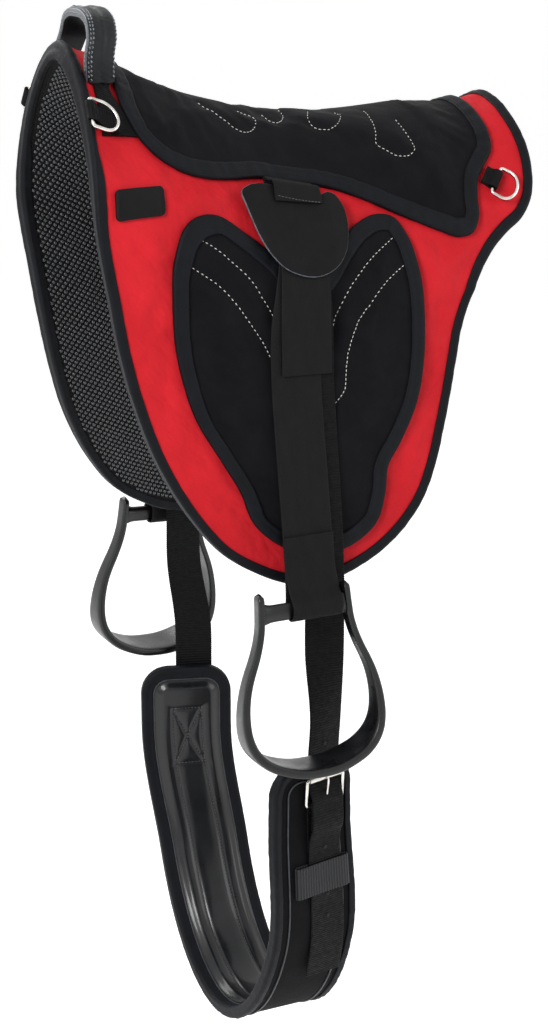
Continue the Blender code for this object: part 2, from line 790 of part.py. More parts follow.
def build_pommel_webbing(side_name, side):
    def beside_seat(run):
        return seat_front(run) - wall_gap - tape - 3 * lay_gap

    drop = pommel_web_bottom - pommel_web_top
    runs = [pommel_web_top + share * drop for share in (0.0, 0.2, 0.4, 0.6, 0.8)]
    outline = [(min(beside_seat(run), pommel_web_rear), run) for run in runs]
    outline += [(pommel_web_front, run) for run in [pommel_web_bottom] + runs[::-1]]
    grid = np.array([(pommel_web_front + web_middle, run) for run in runs[1:]])
    cut = Cut(np.array(outline), lay_gap, grid, inner_ring=False, clear=0)

    def place(x, run, height):
        return on_back(x, side * run, height)

    sheet(side_name + "_pommel_webbing", cut, lay_height, lay_height + webbing_thickness,
          webbing, place)


def seat_front(run):
    table = [(share * seat_drop, x * seat_front_reach) for x, share in seat_outline_shares[:5]]
    return float(np.interp(run, [t[0] for t in table], [t[1] for t in table]))


# Tie rings: a bent wire D whose straight bar lies in a folded chape
def tie_ring(name, side, x0, run0, turn_degrees, chape_low, tail, lap, sense):
    turn = radians(turn_degrees)
    band = webbing_thickness
    wire = ring_wire / 2
    bar = chape_low + band + ring_bar_gap + wire
    loop = wire + ring_bar_gap + band / 2

    def place(a, b, height):
        x = x0 + a * cos(turn) - b * sin(turn)
        run = run0 + a * sin(turn) + b * cos(turn)
        return on_back(x, side * run, height)

    path = [(tail, bar - loop), (lap, bar - loop)]
    path += arc((0, bar), loop, 270, 60, 8)
    path += [(lap, bar - loop + band + strap_gap), (tail, bar - loop + band + strap_gap)]
    path = [(sense * a, height) for a, height in path]
    low, high = offsets(path, band)
    across = columns_of(ring_chape_width, 2)
    rows = [np.array([place(a, across, h) for a, h in face]) for face in (low, high)]
    slab(name + "_chape", rows[0], rows[1], webbing)

    half = ring_width / 2 - wire
    corner = half * ring_corner_share
    reach = ring_depth - wire - wire
    line = arc((corner, -half + corner), corner, 180, 270, 4)
    line += arc((reach - half, 0), half, -90, 90, 9)
    line += arc((corner, half - corner), corner, 90, 180, 4)
    points = [place(a, b, bar + ring_lift_share * a) for a, b in line]
    pivot = place(0, 0, bar)
    bar_ends = place(0, -half, bar), place(0, half, bar)
    tube(name, points, wire, 6, chrome, closed=True, origin=pivot)
    return pivot, bar_ends[1] - bar_ends[0]


# Leather tab, hanger and steel loop, with the strap that hangs from the loop
def leather_height(x, run):
    """Height of the leather tab's inner face, raised over the steel loop and the strap."""
    flat = carrier_top + 3 * strap_gap
    far = np.abs(x - carrier_x) - loop_inner_width / 2 - loop_wire
    rise = 1 - ease(far / tab_rise_run)
    over_tail = np.interp(run, [p[0] for p in tail_top_line], [p[1] for p in tail_top_line])
    top = np.maximum(flat, over_tail + 3 * strap_gap)
    return tab_edge_height + (top - tab_edge_height) * rise


def build_carrier(side_name, side):
    band = stirrup_web_thickness
    upper = (loop_run, loop_centre_height)
    radius = loop_wire / 2 + strap_gap + band / 2
    path = [(seat_exit_run, upper[1] - radius), (0.5 * (seat_exit_run + loop_run), upper[1] - radius)]
    path += arc(upper, radius, 270, 450, 8)
    path += [(loop_run - carrier_lap, upper[1] + radius)]
    faces = offsets(path, band)
    centre = [carrier_x] * len(path)
    rows = [strap_rows(face, centre, stirrup_web_width, side) for face in faces]
    slab(side_name + "_loop_chape", rows[0], rows[1], webbing)

    half = loop_inner_width / 2 + loop_wire / 2
    ends = strap_rows([(loop_run, loop_centre_height)], [carrier_x], stirrup_web_width, side)[0]
    pivot = (ends[0] + ends[1]) / 2
    corner = loop_wire
    line = []
    for sx, sr, start in ((1, 1, 0), (-1, 1, 90), (-1, -1, 180), (1, -1, 270)):
        run = loop_run + (loop_height - corner if sr > 0 else corner)
        line += arc((sx * (half - corner), run), corner, start, start + 90, 4)
    points = []
    for a, run in line:
        ends = strap_rows([(run, loop_centre_height)], [carrier_x], stirrup_web_width, side)[0]
        points.append((ends[0] + ends[1]) / 2 + (ends[1] - ends[0]) * a / stirrup_web_width)
    tube(side_name + "_strap_loop", points, loop_wire / 2, 6, chrome, closed=True, origin=pivot)
    ends = strap_rows([(loop_run, loop_centre_height)], [carrier_x], stirrup_web_width, side)[0]
    return (ends[0] + ends[1]) / 2, ends[1] - ends[0]


def build_tab(side_name, side):
    band = stirrup_web_thickness
    outline = [(tab_x + x * tab_half_length, tab_top + run * tab_drop)
               for x, run in tab_outline_shares]
    outline = closed_curve(outline, outline_step / 2)
    columns = [carrier_x + a * loop_inner_width for a in (-0.75, -0.5, 0, 0.5, 0.75)]
    grid = np.array([(x, tab_top + share * tab_drop) for share in (0.2, 0.4, 0.6, 0.8)
                     for x in columns])
    cut = Cut(outline, tab_thickness, grid, inner_ring=False)

    def place(x, run, height):
        return on_back(x, side * run, height)

    low = leather_height(cut.flat[:, 0], cut.flat[:, 1])
    start = seat_exit_run + hanger_seat_gap
    pivot = on_back(carrier_x, side * start, hanger_start_height)
    sheet(side_name + "_leather_tab", cut, low, low + tab_thickness, leather, place, origin=pivot)
    top = float(leather_height(carrier_x, tab_top)) + tab_thickness + strap_gap + band / 2
    mid = 0.5 * (start + tab_top)
    path = [(start, hanger_start_height), (mid, 0.45 * hanger_start_height + 0.55 * top),
            (tab_top - carrier_lap * 0.3, top), (hanger_end, top)]
    faces = offsets(path, band)
    rows = [strap_rows(face, [carrier_x] * 4, hanger_width, side) for face in faces]
    slab(side_name + "_tab_hanger", rows[0], rows[1], webbing, origin=pivot)
    ends = strap_rows([path[0]], [carrier_x], hanger_width, side)[0]
    return pivot, ends[1] - ends[0]


def leg_at(run):
    return float(np.interp(run, [p[0] for p in leg_line], [p[1] for p in leg_line]))


def build_strap(side_name, side, pivot):
    band = stirrup_web_thickness
    low_bar = (loop_run + loop_height, loop_centre_height)
    radius = loop_wire / 2 + strap_gap + band / 2
    path = [(strap_tail_run, leg_at(strap_tail_run) + band + strap_gap)]
    path += [p for p in tail_line[::-1]]
    path += arc(low_bar, radius, 90, 270, 8)
    path += leg_line
    bar = bar_loop_radius + band / 2
    path += arc((bar_run, leg_line[-1][1] + bar), bar, 270, 450, 12)
    for share, lift in ((0.3, strap_gap + bar * 0.5), (0.55, 0), (1.0, 0)):
        run = bar_run - strap_overlap * share
        path += [(run, leg_at(run) + band + strap_gap + lift)]
    settle = strap_settle_run - loop_run
    strap_x = strap_x_by_side[side]
    centre = [carrier_x + (strap_x - carrier_x) * float(ease((run - loop_run - loop_height) / settle))
              for run, _ in path]
    tail_count = 1 + len(tail_line)
    for k in range(tail_count):
        centre[k] = carrier_x + (centre[k] - carrier_x) * 0.2
    faces = offsets(path, band)
    roll = -side * stirrup_roll_share
    rows = [strap_rows(face, centre, stirrup_web_width, side, roll) for face in faces]
    slab(side_name + "_stirrup_strap", rows[0], rows[1], webbing, origin=pivot)


def build_stirrup(side_name, side):
    height = leg_line[-1][1] + stirrup_web_thickness / 2 + bar_loop_radius
    strap_x = strap_x_by_side[side]
    roll = -side * stirrup_roll_share
    ends = strap_rows([(bar_run, height)], [strap_x], stirrup_web_width, side, roll)[0]
    pivot = Vector((ends[0] + ends[1]) / 2)
    along = Vector(ends[1] - ends[0]).normalized()
    out = Vector((0, 0, 1)).cross(along).normalized()
    frame = Matrix((along, out, along.cross(out))).transposed().to_4x4()
    tilt = Matrix.Rotation(radians(stirrup_tilt_degrees) * side, 4, "X")
    shift = stirrup_lead
    drop = bar_loop_radius - bar_half_height - bar_seat_gap
    half = [(x * stirrup_half_width, stirrup_top - z * stirrup_height)
            for x, z in stirrup_outline_shares]
    fine = open_curve(half + [(-x, z) for x, z in half[-2::-1]], stirrup_step)
    tangent = np.gradient(fine, axis=0)
    tangent = tangent / np.linalg.norm(tangent, axis=1, keepdims=True)
    inward = np.stack([tangent[:, 1], -tangent[:, 0]], axis=-1)
    lowness = ease((stirrup_top - fine[:, 1]) / stirrup_height)
    tread_share = np.clip((stirrup_top - fine[:, 1]) / stirrup_height, 0, 1) ** 3
    wall = stirrup_wall + (tread_wall - stirrup_wall) * lowness ** 2
    depth = post_depth + (tread_depth - post_depth) * tread_share
    vertices, faces = [], []
    corner_share = 0.28
    last = len(fine) - 1
    for i, (point, normal, w, d) in enumerate(zip(fine, inward, wall, depth)):
        squeeze = 0.86 if i in (0, last) else 1.0
        middle = point + normal * w / 2
        for a, b in ((-1, -1 + corner_share), (-1, 1 - corner_share), (-1 + 2 * corner_share, 1),
                     (1 - 2 * corner_share, 1), (1, 1 - corner_share), (1, -1 + corner_share),
                     (1 - 2 * corner_share, -1), (-1 + 2 * corner_share, -1)):
            across = middle + normal * a * w / 2 * squeeze
            vertices.append((across[0] + shift, b * d / 2 * squeeze, across[1] - drop))
    for i in range(last):
        for k in range(8):
            m = (k + 1) % 8
            faces.append((i * 8 + k, i * 8 + m, (i + 1) * 8 + m, (i + 1) * 8 + k))
    faces.append(tuple(range(8))[::-1])
    faces.append(tuple(last * 8 + k for k in range(8)))
    vertices = [frame @ tilt @ Vector(p) for p in vertices]
    piece = finish_object(side_name + "_stirrup", vertices, faces, plastic, smooth=35)
    reach = stirrup_half_width * 0.60
    sides = 12
    bar_vertices = []
    for x in (-reach, reach):
        for k in range(sides):
            angle = 2 * pi * k / sides
            point = Vector((x + shift, bar_half_depth * sin(angle),
                            bar_half_height * cos(angle) - drop))
            bar_vertices.append(frame @ tilt @ point)
    bar_faces = [(k, (k + 1) % sides, sides + (k + 1) % sides, sides + k) for k in range(sides)]
    bar_faces += [tuple(range(sides))[::-1], tuple(range(sides, 2 * sides))]
    bar = finish_object(side_name + "_bar_guide", bar_vertices, bar_faces, plastic)
    bar.hide_render = True
    bar.display_type = "WIRE"
    join = piece.modifiers.new("crossbar", "BOOLEAN")
    join.operation = "UNION"
    join.solver = "EXACT"
    join.object = bar
    for thing in (piece, bar):
        thing.location = pivot
    return pivot, along


# Billet: webbing from under the seat, through the buckle and the keeper
def billet_offset(s):
    drift = ease((s - buckle_low - buckle_chape_tail / 2) / (girth_tail_length - buckle_low))
    return buckle_offset + (tail_offset - buckle_offset) * drift


def build_billet(side_name, side):
    levels_on_back = [(run, height) for run, height in billet_line]
    low, high = offsets(levels_on_back, webbing_thickness)
    centre = [billet_x] * len(low)
    back = [strap_rows(face, centre, billet_width, side) for face in (low, high)]
    low_g, high_g = offsets(billet_buckle_line, webbing_thickness)
    across = columns_of(billet_width, 2)
    girth = [np.array([on_girth(s, billet_offset(s) + across, h, side) for s, h in face])
             for face in (low_g, high_g)]
    lower = np.concatenate([back[0], girth[0]])
    upper = np.concatenate([back[1], girth[1]])
    piece = slab(side_name + "_billet", lower, upper, webbing, smooth=None)
    holes = [(tongue_s + k * hole_pitch, hole_radius) for k in (-2, -1, 1, 2)]
    vertices, faces = [], []
    for s, radius in holes + [(tongue_s, None)]:
        height = float(np.interp(s, [p[0] for p in billet_buckle_line],
                                 [p[1] for p in billet_buckle_line]))
        start = len(vertices)
        for h in (height - cutter_overrun, height + cutter_overrun):
            for k in range(8):
                angle = 2 * pi * (k + 0.5) / 8
                if radius is None:
                    a = tongue_slot_length / 2 * cos(angle)
                    b = (tongue_wire / 2 + hole_clearance) * max(-1, min(1, 2.4 * sin(angle)))
                else:
                    a, b = radius * cos(angle), radius * sin(angle)
                vertices.append(on_girth(s + a, billet_offset(s) + b, h, side))
        for k in range(8):
            m = (k + 1) % 8
            faces.append((start + k, start + m, start + 8 + m, start + 8 + k))
        faces.append(tuple(start + k for k in range(8))[::-1])
        faces.append(tuple(start + 8 + k for k in range(8)))
    cut_with(piece, cutter(side_name + "_hole_punch", vertices, faces))


# Girth
def build_girth():
    length = 2 * girth_half_run
    half = girth_width / 2
    corners = []
    for s, w, start in ((length - girth_corner, half - girth_corner, 0),
                        (girth_corner, half - girth_corner, 90),
                        (girth_corner, -half + girth_corner, 180),
                        (length - girth_corner, -half + girth_corner, 270)):
        corners += arc((s, w), girth_corner, start, start + 90, 5)
    count = round((length - 2 * girth_corner) / girth_step)
    between = np.linspace(girth_corner, length - girth_corner, count + 1)[1:-1]
    top = [(s, half) for s in between[::-1]]
    bottom = [(s, -half) for s in between]
    outline = np.array(corners[:5] + top + corners[5:15] + bottom + corners[15:])
    rows = np.array([(s, 0.0) for s in between])
    cut = Cut(outline, girth_border, rows, inner_ring=False)
    sheet("girth_body", cut, -girth_thickness, 0.0, neoprene, on_girth)
    low, high = -girth_thickness - lip_gap, lip_gap
    lip = girth_lip_share
    wall = -wall_gap
    section = [(1, 0, low), (0, wall, low), (0, wall, high), (lip, 0, high),
               (lip, 0, high + tape), (0, wall, high + tape), (0, wall - tape, high),
               (0, wall - tape, low), (0, wall, low - tape), (1, 0, low - tape)]
    edging("girth_binding", cut, section, binding_tape, on_girth)
    start = girth_border + lining_gap
    rows = np.linspace(start, length - start, round(length / girth_step) + 1)
    shoulder = girth_corner / 3
    rows = np.concatenate([rows[:1], [start + shoulder], rows[1:-1],
                           [length - start - shoulder], rows[-1:]])
    inner = half - girth_border - lining_gap
    across = np.array([-1.0, -0.78, -0.52, 0.0, 0.52, 0.78, 1.0]) * inner
    puff = np.array([0.0, 0.8, 0.15, 1.0, 0.15, 0.8, 0.0])
    under = -girth_thickness - lay_gap
    lower, upper = [], []
    for i, s in enumerate(rows):
        at_end = i in (0, len(rows) - 1)
        w = across * (1 - shoulder / inner) if at_end else across
        swell = lining_swell * puff * (0.15 if at_end else 1.0)
        lower.append(on_girth(s, w, under))
        upper.append(on_girth(s, w, under - lining_edge - swell))
    slab("girth_lining", np.array(lower), np.array(upper), vinyl)


# Buckle
def build_buckle(side_name, side):
    wire = buckle_wire / 2
    low_bar = (buckle_low, buckle_bar_height)
    top_bar = (buckle_top, roller_height)

    def place(s, w, h):
        return on_girth(s, buckle_offset + w, h, side)

    half = buckle_inner_width / 2 + wire
    corner = wire * 1.7
    lean = (top_bar[1] - low_bar[1]) / (top_bar[0] - low_bar[0])
    line = []
    for sw, bar, ds, start in ((1, low_bar, -1, 0), (-1, low_bar, -1, 90),
                               (-1, top_bar, 1, 180), (1, top_bar, 1, 270)):
        line += [(w, s) for w, s in arc((sw * (half - corner), bar[0] + ds * corner), corner,
                                        start, start + 90, 4)]
    points = [place(s, w, low_bar[1] + lean * (s - low_bar[0])) for w, s in line]
    tube(side_name + "_buckle_frame", points, wire, 6, chrome, closed=True)

    roller_half = buckle_inner_width / 2 - roller_end_gap
    centre = place(top_bar[0], 0, top_bar[1])
    axis = place(top_bar[0], half, top_bar[1]) - place(top_bar[0], -half, top_bar[1])
    axis = axis / np.linalg.norm(axis)
    down = np.cross(axis, place(top_bar[0], 0, 2 * top_bar[1]) - centre)
    down = down / np.linalg.norm(down)
    out = np.cross(down, axis)
    outer_radius = wire + strap_gap + roller_wall
    inner_radius = wire + strap_gap
    sides = 12
    vertices, faces = [], []
    for end in (-roller_half, roller_half):
        for radius in (outer_radius, inner_radius):
            for k in range(sides):
                angle = 2 * pi * k / sides
                vertices.append(centre + axis * end
                                + radius / cos(pi / sides) ** (radius == inner_radius)
                                * (cos(angle) * down + sin(angle) * out))
    for k in range(sides):
        m = (k + 1) % sides
        faces.append((k, m, 2 * sides + m, 2 * sides + k))
        faces.append((sides + k, 3 * sides + k, 3 * sides + m, sides + m))
        faces.append((k, sides + k, sides + m, m))
        faces.append((2 * sides + k, 2 * sides + m, 3 * sides + m, 3 * sides + k))
    finish_object(side_name + "_buckle_roller", vertices, faces, chrome, origin=centre)

    eye = wire + gap + tongue_wire / 2
    rest = roller_height + outer_radius + gap + tongue_wire / 2
    over = buckle_bar_height + eye
    path = arc(low_bar, eye, -200, 95, 13)
    path += [(buckle_low - buckle_length * 0.45, (over + rest) / 2),
             (buckle_top + wire, rest), (buckle_top - wire * 1.5, rest - tongue_wire * 0.2)]
    pivot = place(low_bar[0], 0, low_bar[1])
    tube(side_name + "_buckle_tongue", [place(s, 0, h) for s, h in path], tongue_wire / 2, 6,
         chrome, origin=pivot)

    band = webbing_thickness
    loop = wire + strap_gap + band / 2
    legs = [(buckle_low + buckle_chape_tail, low_bar[1] - loop),
            (buckle_low + buckle_chape_tail / 2, low_bar[1] - loop)]
    legs += arc(low_bar, loop, 270, 90, 8)
    legs += [(buckle_low + buckle_chape_lap, low_bar[1] + loop)]
    across = columns_of(buckle_chape_width, 2)
    faces_of = offsets(legs, band)
    rows = [np.array([place(s, across, h) for s, h in face]) for face in faces_of]
    chape = slab(side_name + "_buckle_chape", rows[0], rows[1], webbing, smooth=None)
    vertices = []
    for s in (buckle_low - loop - band, buckle_low + loop + band):
        for w in (-slot_half_width, slot_half_width):
            for h in (-buckle_chape_lift, 2 * low_bar[1] + band):
                vertices.append(place(s, w, h))
    faces = [(0, 1, 3, 2), (4, 6, 7, 5), (0, 4, 5, 1), (2, 3, 7, 6), (0, 2, 6, 4), (1, 5, 7, 3)]
    cut_with(chape, cutter(side_name + "_slot_punch", vertices, faces))
    return centre, axis, pivot


def build_keeper(side_name, side):
    band = keeper_thickness
    low = gap + band / 2
    high = keeper_tail_height + webbing_thickness / 2 + strap_gap + band / 2
    radius = (high - low) / 2
    flat = keeper_half_width - radius
    path = arc((flat, low + radius), radius, -90, 90, 6)
    path += [(0, high)]
    path += arc((-flat, low + radius), radius, 90, 270, 6)
    path += [(0, low)]
    path = np.array(path)
    tangent = np.roll(path, -1, 0) - np.roll(path, 1, 0)
    tangent = tangent / np.linalg.norm(tangent, axis=1, keepdims=True)
    normal = np.stack([-tangent[:, 1], tangent[:, 0]], axis=-1) * band / 2
    along = keeper_start + np.linspace(0, keeper_band, 3)
    rows = [np.array([on_girth(along, keeper_offset + w, h, side) for w, h in face])
            for face in (path - normal, path + normal)]
    slab(side_name + "_keeper", rows[0], rows[1], webbing, closed=True)


for old in list(bpy.data.objects):
    bpy.data.objects.remove(old, do_unlink=True)

red_nylon = look("red nylon", "#C9252F", 0.62)
mesh_fabric = look("mesh lining", "#2B2A2C", 0.85)
foam = look("grey foam", "#6E7074", 0.9)
gel = look("gel pad", "#4F5A66", 0.35)
suede = look("black suede", "#1D1D1F", 0.8)
binding_tape = look("binding tape", "#16181C", 0.6)
webbing = look("black webbing", "#141416", 0.7)
leather = look("black leather", "#1B1B1C", 0.55)
padded_leather_look = look("perforated grip", "#1E2022", 0.5)
neoprene = look("neoprene", "#17181A", 0.75)
vinyl = look("girth vinyl", "#232629", 0.35)
plastic = look("moulded plastic", "#1B1C1F", 0.38)
rubber = look("bare rubber", "#121314", 0.45)
chrome = look("chromed steel", "#D8D8D6", 0.18, 1.0)

# Heights at which the straps cross the pad, from the pad's face outwards
tab_x = carrier_x
no_grid = np.empty((0, 2))
knee_face = lay_height + cushion_rim + knee_crown
knee_rim_face = lay_height + cushion_rim + lip_gap + tape
loop_centre_height = (lay_height + webbing_thickness + strap_gap + stirrup_web_thickness
                      + strap_gap + loop_wire / 2)
carrier_top = loop_centre_height + loop_wire / 2 + strap_gap + stirrup_web_thickness
billet_low = lay_height + billet_half
billet_high = knee_face + strap_gap + billet_half
notch_run = knee_top + 0.178 * knee_drop
ring_foot = loop_run + loop_height
climb_start = ring_foot + loop_wire
climb_end = notch_run - binding_width - strap_gap - tape * 3
over_rim = knee_rim_face + strap_gap + billet_half
flap_runs = list(np.linspace(strap_settle_run, bar_run - bar_loop_radius, flap_station_count))
billet_line = [(run, billet_low) for run in np.linspace(seat_exit_run, loop_run, 3)]
billet_line += [((loop_run + climb_start) / 2, billet_low), (climb_start, billet_low),
               (climb_end, over_rim), (notch_run, over_rim + strap_gap)]
billet_line += [(run, billet_high) for run in flap_runs]
billet_line += [(bar_run, billet_high), (billet_hang, billet_high)]
step = webbing_thickness / 2 + strap_gap + stirrup_web_thickness / 2
leg_low = loop_centre_height - loop_wire / 2 - strap_gap - strap_half
leg_high = billet_high + step
leg_line = [(climb_start, leg_low), (climb_end, over_rim + step),
            (notch_run, over_rim + step + strap_gap)]
fall = flap_runs[-1] - flap_runs[0]
leg_line += [(run, leg_high + strap_stand_off * ((run - flap_runs[0]) / fall) ** 2)
             for run in flap_runs]
tail_high = leg_high + stirrup_web_thickness + strap_gap
tail_level = loop_centre_height + loop_wire / 2 + strap_gap + strap_half
tail_line = [(leg_line[0][0], tail_level),
             (leg_line[1][0], leg_line[1][1] + stirrup_web_thickness + strap_gap),
             (leg_line[2][0], leg_line[2][1] + stirrup_web_thickness + strap_gap),
             (strap_settle_run, tail_high)]
tail_top_line = [(run, height + strap_half) for run, height in tail_line]

# Heights of the buckle on the girth's outer face
buckle_low = buckle_top + buckle_length
buckle_bar_height = buckle_chape_lift + webbing_thickness + strap_gap + buckle_wire / 2
strap_under_roller = 2 * strap_gap + billet_half
over_edge = lip_gap + tape + strap_gap + billet_half
roller_radius = buckle_wire / 2 + strap_gap + roller_wall
roller_height = strap_under_roller + billet_half + strap_gap + roller_radius
over_bar = buckle_bar_height + max(buckle_wire / 2 + gap + tongue_wire,
                                   buckle_wire / 2 + strap_gap + webbing_thickness)
over_bar = over_bar + strap_gap + billet_half
tongue_s = buckle_low - buckle_length * 0.245
keeper_tail_height = gap + keeper_thickness + strap_gap + billet_half
billet_buckle_line = [
    (-0.045, roller_height), (-wall_gap - tape * 2, over_edge),
    (buckle_top * 0.52, over_edge), (buckle_top * 0.87, strap_under_roller),
    (buckle_top * 1.25, strap_under_roller),
    (buckle_top + buckle_length * 0.30, 0.75 * strap_under_roller + 0.25 * over_bar),
    (buckle_low - buckle_length * 0.16, over_bar), (buckle_low, over_bar),
    (buckle_low + buckle_chape_lap, over_bar),
    (buckle_low + buckle_chape_lap * 1.35, 0.55 * over_bar + 0.45 * keeper_tail_height),
    (buckle_low + buckle_chape_tail + webbing_thickness, keeper_tail_height + lay_gap),
    (keeper_start, keeper_tail_height), (keeper_start + keeper_band / 2, keeper_tail_height),
    (keeper_start + keeper_band, keeper_tail_height),
    (keeper_start + keeper_band * 1.5, strap_under_roller),
    ]
tail_start = keeper_start + keeper_band * 1.5
billet_buckle_line += [(tail_start + share * (girth_tail_length - tail_start),
                        strap_under_roller + tail_lift * share ** 2)
                       for share in (0.2, 0.4, 0.6, 0.8, 1.0)]

build_pad()
build_seat()
build_patch()
build_handle()
build_girth()
joints = {}
for side_name, side in (("near", -1), ("far", 1)):
    build_knee_pad(side_name, side)
    build_pommel_webbing(side_name, side)
    joints[side_name + "_front_ring"] = tie_ring(
        side_name + "_front_ring", side, front_ring_x, front_ring_run, 0,
        lay_height + webbing_thickness + strap_gap, ring_chape_length, ring_lap, 1)
    joints[side_name + "_rear_ring"] = tie_ring(
        side_name + "_rear_ring", side, rear_ring_x, rear_ring_run, rear_ring_turn_degrees,
        lay_height - lay_gap / 3, rear_chape_length, ring_lap, -1)
    pivot, axis = build_carrier(side_name, side)
    joints[side_name + "_strap"] = (pivot, axis)
    joints[side_name + "_tab"] = build_tab(side_name, side)
    build_strap(side_name, side, pivot)
    joints[side_name + "_stirrup"] = build_stirrup(side_name, side)
    build_billet(side_name, side)
    centre, axis, tongue = build_buckle(side_name, side)
    joints[side_name + "_roller"] = (centre, axis)
    joints[side_name + "_tongue"] = (tongue, axis)
    build_keeper(side_name, side)

for name, (point, axis) in joints.items():
    direction = Vector(axis).normalized()
    print(name, [round(c, 5) for c in point], [round(c, 5) for c in direction])
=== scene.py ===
# %% [markdown]
# A bareback pad: a soft saddle without a tree, with knee pads, a grab handle, stirrups and a
# girth. A saddler cuts it flat from cloth and sews it over foam. This lesson does the same:
# each soft piece has a flat cut, and the cut is laid over one surface that stands for the
# horse's back. Box modelling would be quicker for one piece, but the layers would not follow
# each other. On the flat cut, x runs along the horse and run goes down the side from the
# spine. The girth has its own map: s down from its end, w across it and h outwards. All sizes
# are in metres and repeat the solids' sizes, so each visible piece lies where its solid lies.

import bpy
import bmesh
import numpy as np
from math import pi, cos, sin, radians
from mathutils import Matrix, Vector
from mathutils.bvhtree import BVHTree
from mathutils.geometry import delaunay_2d_cdt


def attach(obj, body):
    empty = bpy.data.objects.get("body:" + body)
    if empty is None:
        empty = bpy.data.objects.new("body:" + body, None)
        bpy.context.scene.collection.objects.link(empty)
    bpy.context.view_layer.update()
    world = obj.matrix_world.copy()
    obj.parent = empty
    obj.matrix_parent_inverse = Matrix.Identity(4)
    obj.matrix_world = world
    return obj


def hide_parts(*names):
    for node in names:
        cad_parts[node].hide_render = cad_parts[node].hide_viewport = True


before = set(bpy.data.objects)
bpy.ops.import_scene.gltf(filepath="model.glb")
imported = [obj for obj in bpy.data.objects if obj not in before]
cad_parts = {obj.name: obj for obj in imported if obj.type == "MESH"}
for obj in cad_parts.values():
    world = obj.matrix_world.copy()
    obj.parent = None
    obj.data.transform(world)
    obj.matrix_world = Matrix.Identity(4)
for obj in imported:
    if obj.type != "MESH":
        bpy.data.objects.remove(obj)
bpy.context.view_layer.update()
scene = bpy.context.scene
sides = (("near", -1), ("far", 1))

# %% [markdown]
# On the real pad, every layer takes the shape of the horse below it. A sculpted surface could
# carry the layers, but a formula gives a place and a normal for any point, at any height. The
# back is a rounded arch that falls into two straight flanks, higher at the withers.

# %% The horse's back
half_length, widest, taper, flank_flare, flare_from = 0.220, 0.121, 0.026, 0.027, -0.1525
arch_run, arch_depth, arch_power = 0.185, 0.137, 1.7
withers_rise, croup_rise = 0.0815, 0.0245
nudge = 0.0005


def ease(share):
    """Smooth step from 0 to 1."""
    share = np.clip(share, 0, 1)
    return share * share * (3 - 2 * share)


def back_surface(x, run):
    front = np.clip(-x / half_length, 0, None)
    rear = np.clip(x / half_length, 0, None)
    along = np.clip((half_length - x) / (2 * half_length), 0, None)
    half_width = widest - taper * along ** 2.4
    down = np.abs(run)
    turn = np.clip(down / arch_run, 0, 1) * pi / 2
    reach = (np.sin(turn) ** arch_power + np.cos(turn) ** arch_power) ** (-1 / arch_power)
    z = withers_rise * front ** 2 * (1 + 0.7 * (1 - front)) + croup_rise * rear ** 2.75
    z = z - arch_depth * (1 - np.cos(turn) * reach) - np.clip(down - arch_run, 0, None)
    y = half_width * np.sin(turn) * reach + flank_flare * ease((flare_from - z) / 0.25)
    return np.stack([x, np.sign(run) * y, z], axis=-1)


def slopes(x, run):
    along = back_surface(x + nudge, run) - back_surface(x - nudge, run)
    down = back_surface(x, run + nudge) - back_surface(x, run - nudge)
    return along / (2 * nudge), down / (2 * nudge)


def unit(vectors):
    return vectors / np.linalg.norm(vectors, axis=-1, keepdims=True)


def back_normal(x, run):
    return unit(np.cross(*slopes(x, run)))


def on_back(x, run, height):
    """The place of a point of the flat cut, at a height above the horse's back."""
    x, run, height = np.broadcast_arrays(np.asarray(x, float), run, height)
    return back_surface(x, run) + back_normal(x, run) * height[..., None]


def level_slope(x, run):
    """How much run changes with x along a level line of the flank."""
    along, down = slopes(np.float64(x), np.float64(run))
    return -along[2] / down[2]


print("withers above the spine's middle", on_back(-half_length, 0.0, 0.0)[2])

# %% [markdown]
# The girth hangs as a loop: straight down at first and then round the belly. A curve object
# could carry it, but a table of the path's length does the same for every layer at once. Each
# end is turned by a few degrees, as a girth twists where it is buckled.

# %% The girth's path
girth_top, girth_half_span, girth_bend_top, girth_bottom = 0.563, 0.154, 0.640, 0.877
end_twist, bottom_blend = radians(16), 0.028
girth_end_x, girth_shift = -0.0375, 0.0105
bend = np.linspace(0, pi / 2, 240)
path_y = np.concatenate([[girth_half_span], girth_half_span * np.cos(bend)])
path_z = np.concatenate([[-girth_top],
                         -girth_bend_top - (girth_bottom - girth_bend_top) * np.sin(bend)])


def length_along(points):
    """Distance of each point from the first, along the line."""
    steps = np.linalg.norm(np.diff(points, axis=0), axis=1)
    return np.concatenate([[0], np.cumsum(steps)])


path_s = length_along(np.stack([path_y, path_z], axis=-1))
girth_half_run = path_s[-1]


def on_girth(s, w, h, side=-1):
    s, w, h = np.broadcast_arrays(np.asarray(s, float), w, h)
    far_half = s > girth_half_run
    s = np.where(far_half, 2 * girth_half_run - s, s)
    inner = np.clip(s, path_s[1] / 2, girth_half_run - nudge)
    y0, y1 = (np.interp(inner + d, path_s, path_y) for d in (-nudge, nudge))
    z0, z1 = (np.interp(inner + d, path_s, path_z) for d in (-nudge, nudge))
    length = np.hypot(y1 - y0, z1 - z0)
    at_bottom = ease((s - (girth_half_run - bottom_blend)) / bottom_blend)
    out_y = -(z1 - z0) / length * (1 - at_bottom)
    out_z = (y1 - y0) / length * (1 - at_bottom) - at_bottom
    size = np.hypot(out_y, out_z)
    turn = end_twist * (1 - ease(s / girth_half_run))
    across_out = -np.sin(turn) * w + np.cos(turn) * h
    centre = girth_end_x + girth_shift * ease((s - 0.060) / 0.140)
    x = centre + np.cos(turn) * w + np.sin(turn) * h
    y = np.interp(s, path_s, path_y) + out_y / size * across_out
    z = np.interp(s, path_s, path_z) + np.clip(-s, 0, None) + out_z / size * across_out
    return np.stack([x, np.where(far_half, -side, side) * y, z], axis=-1)


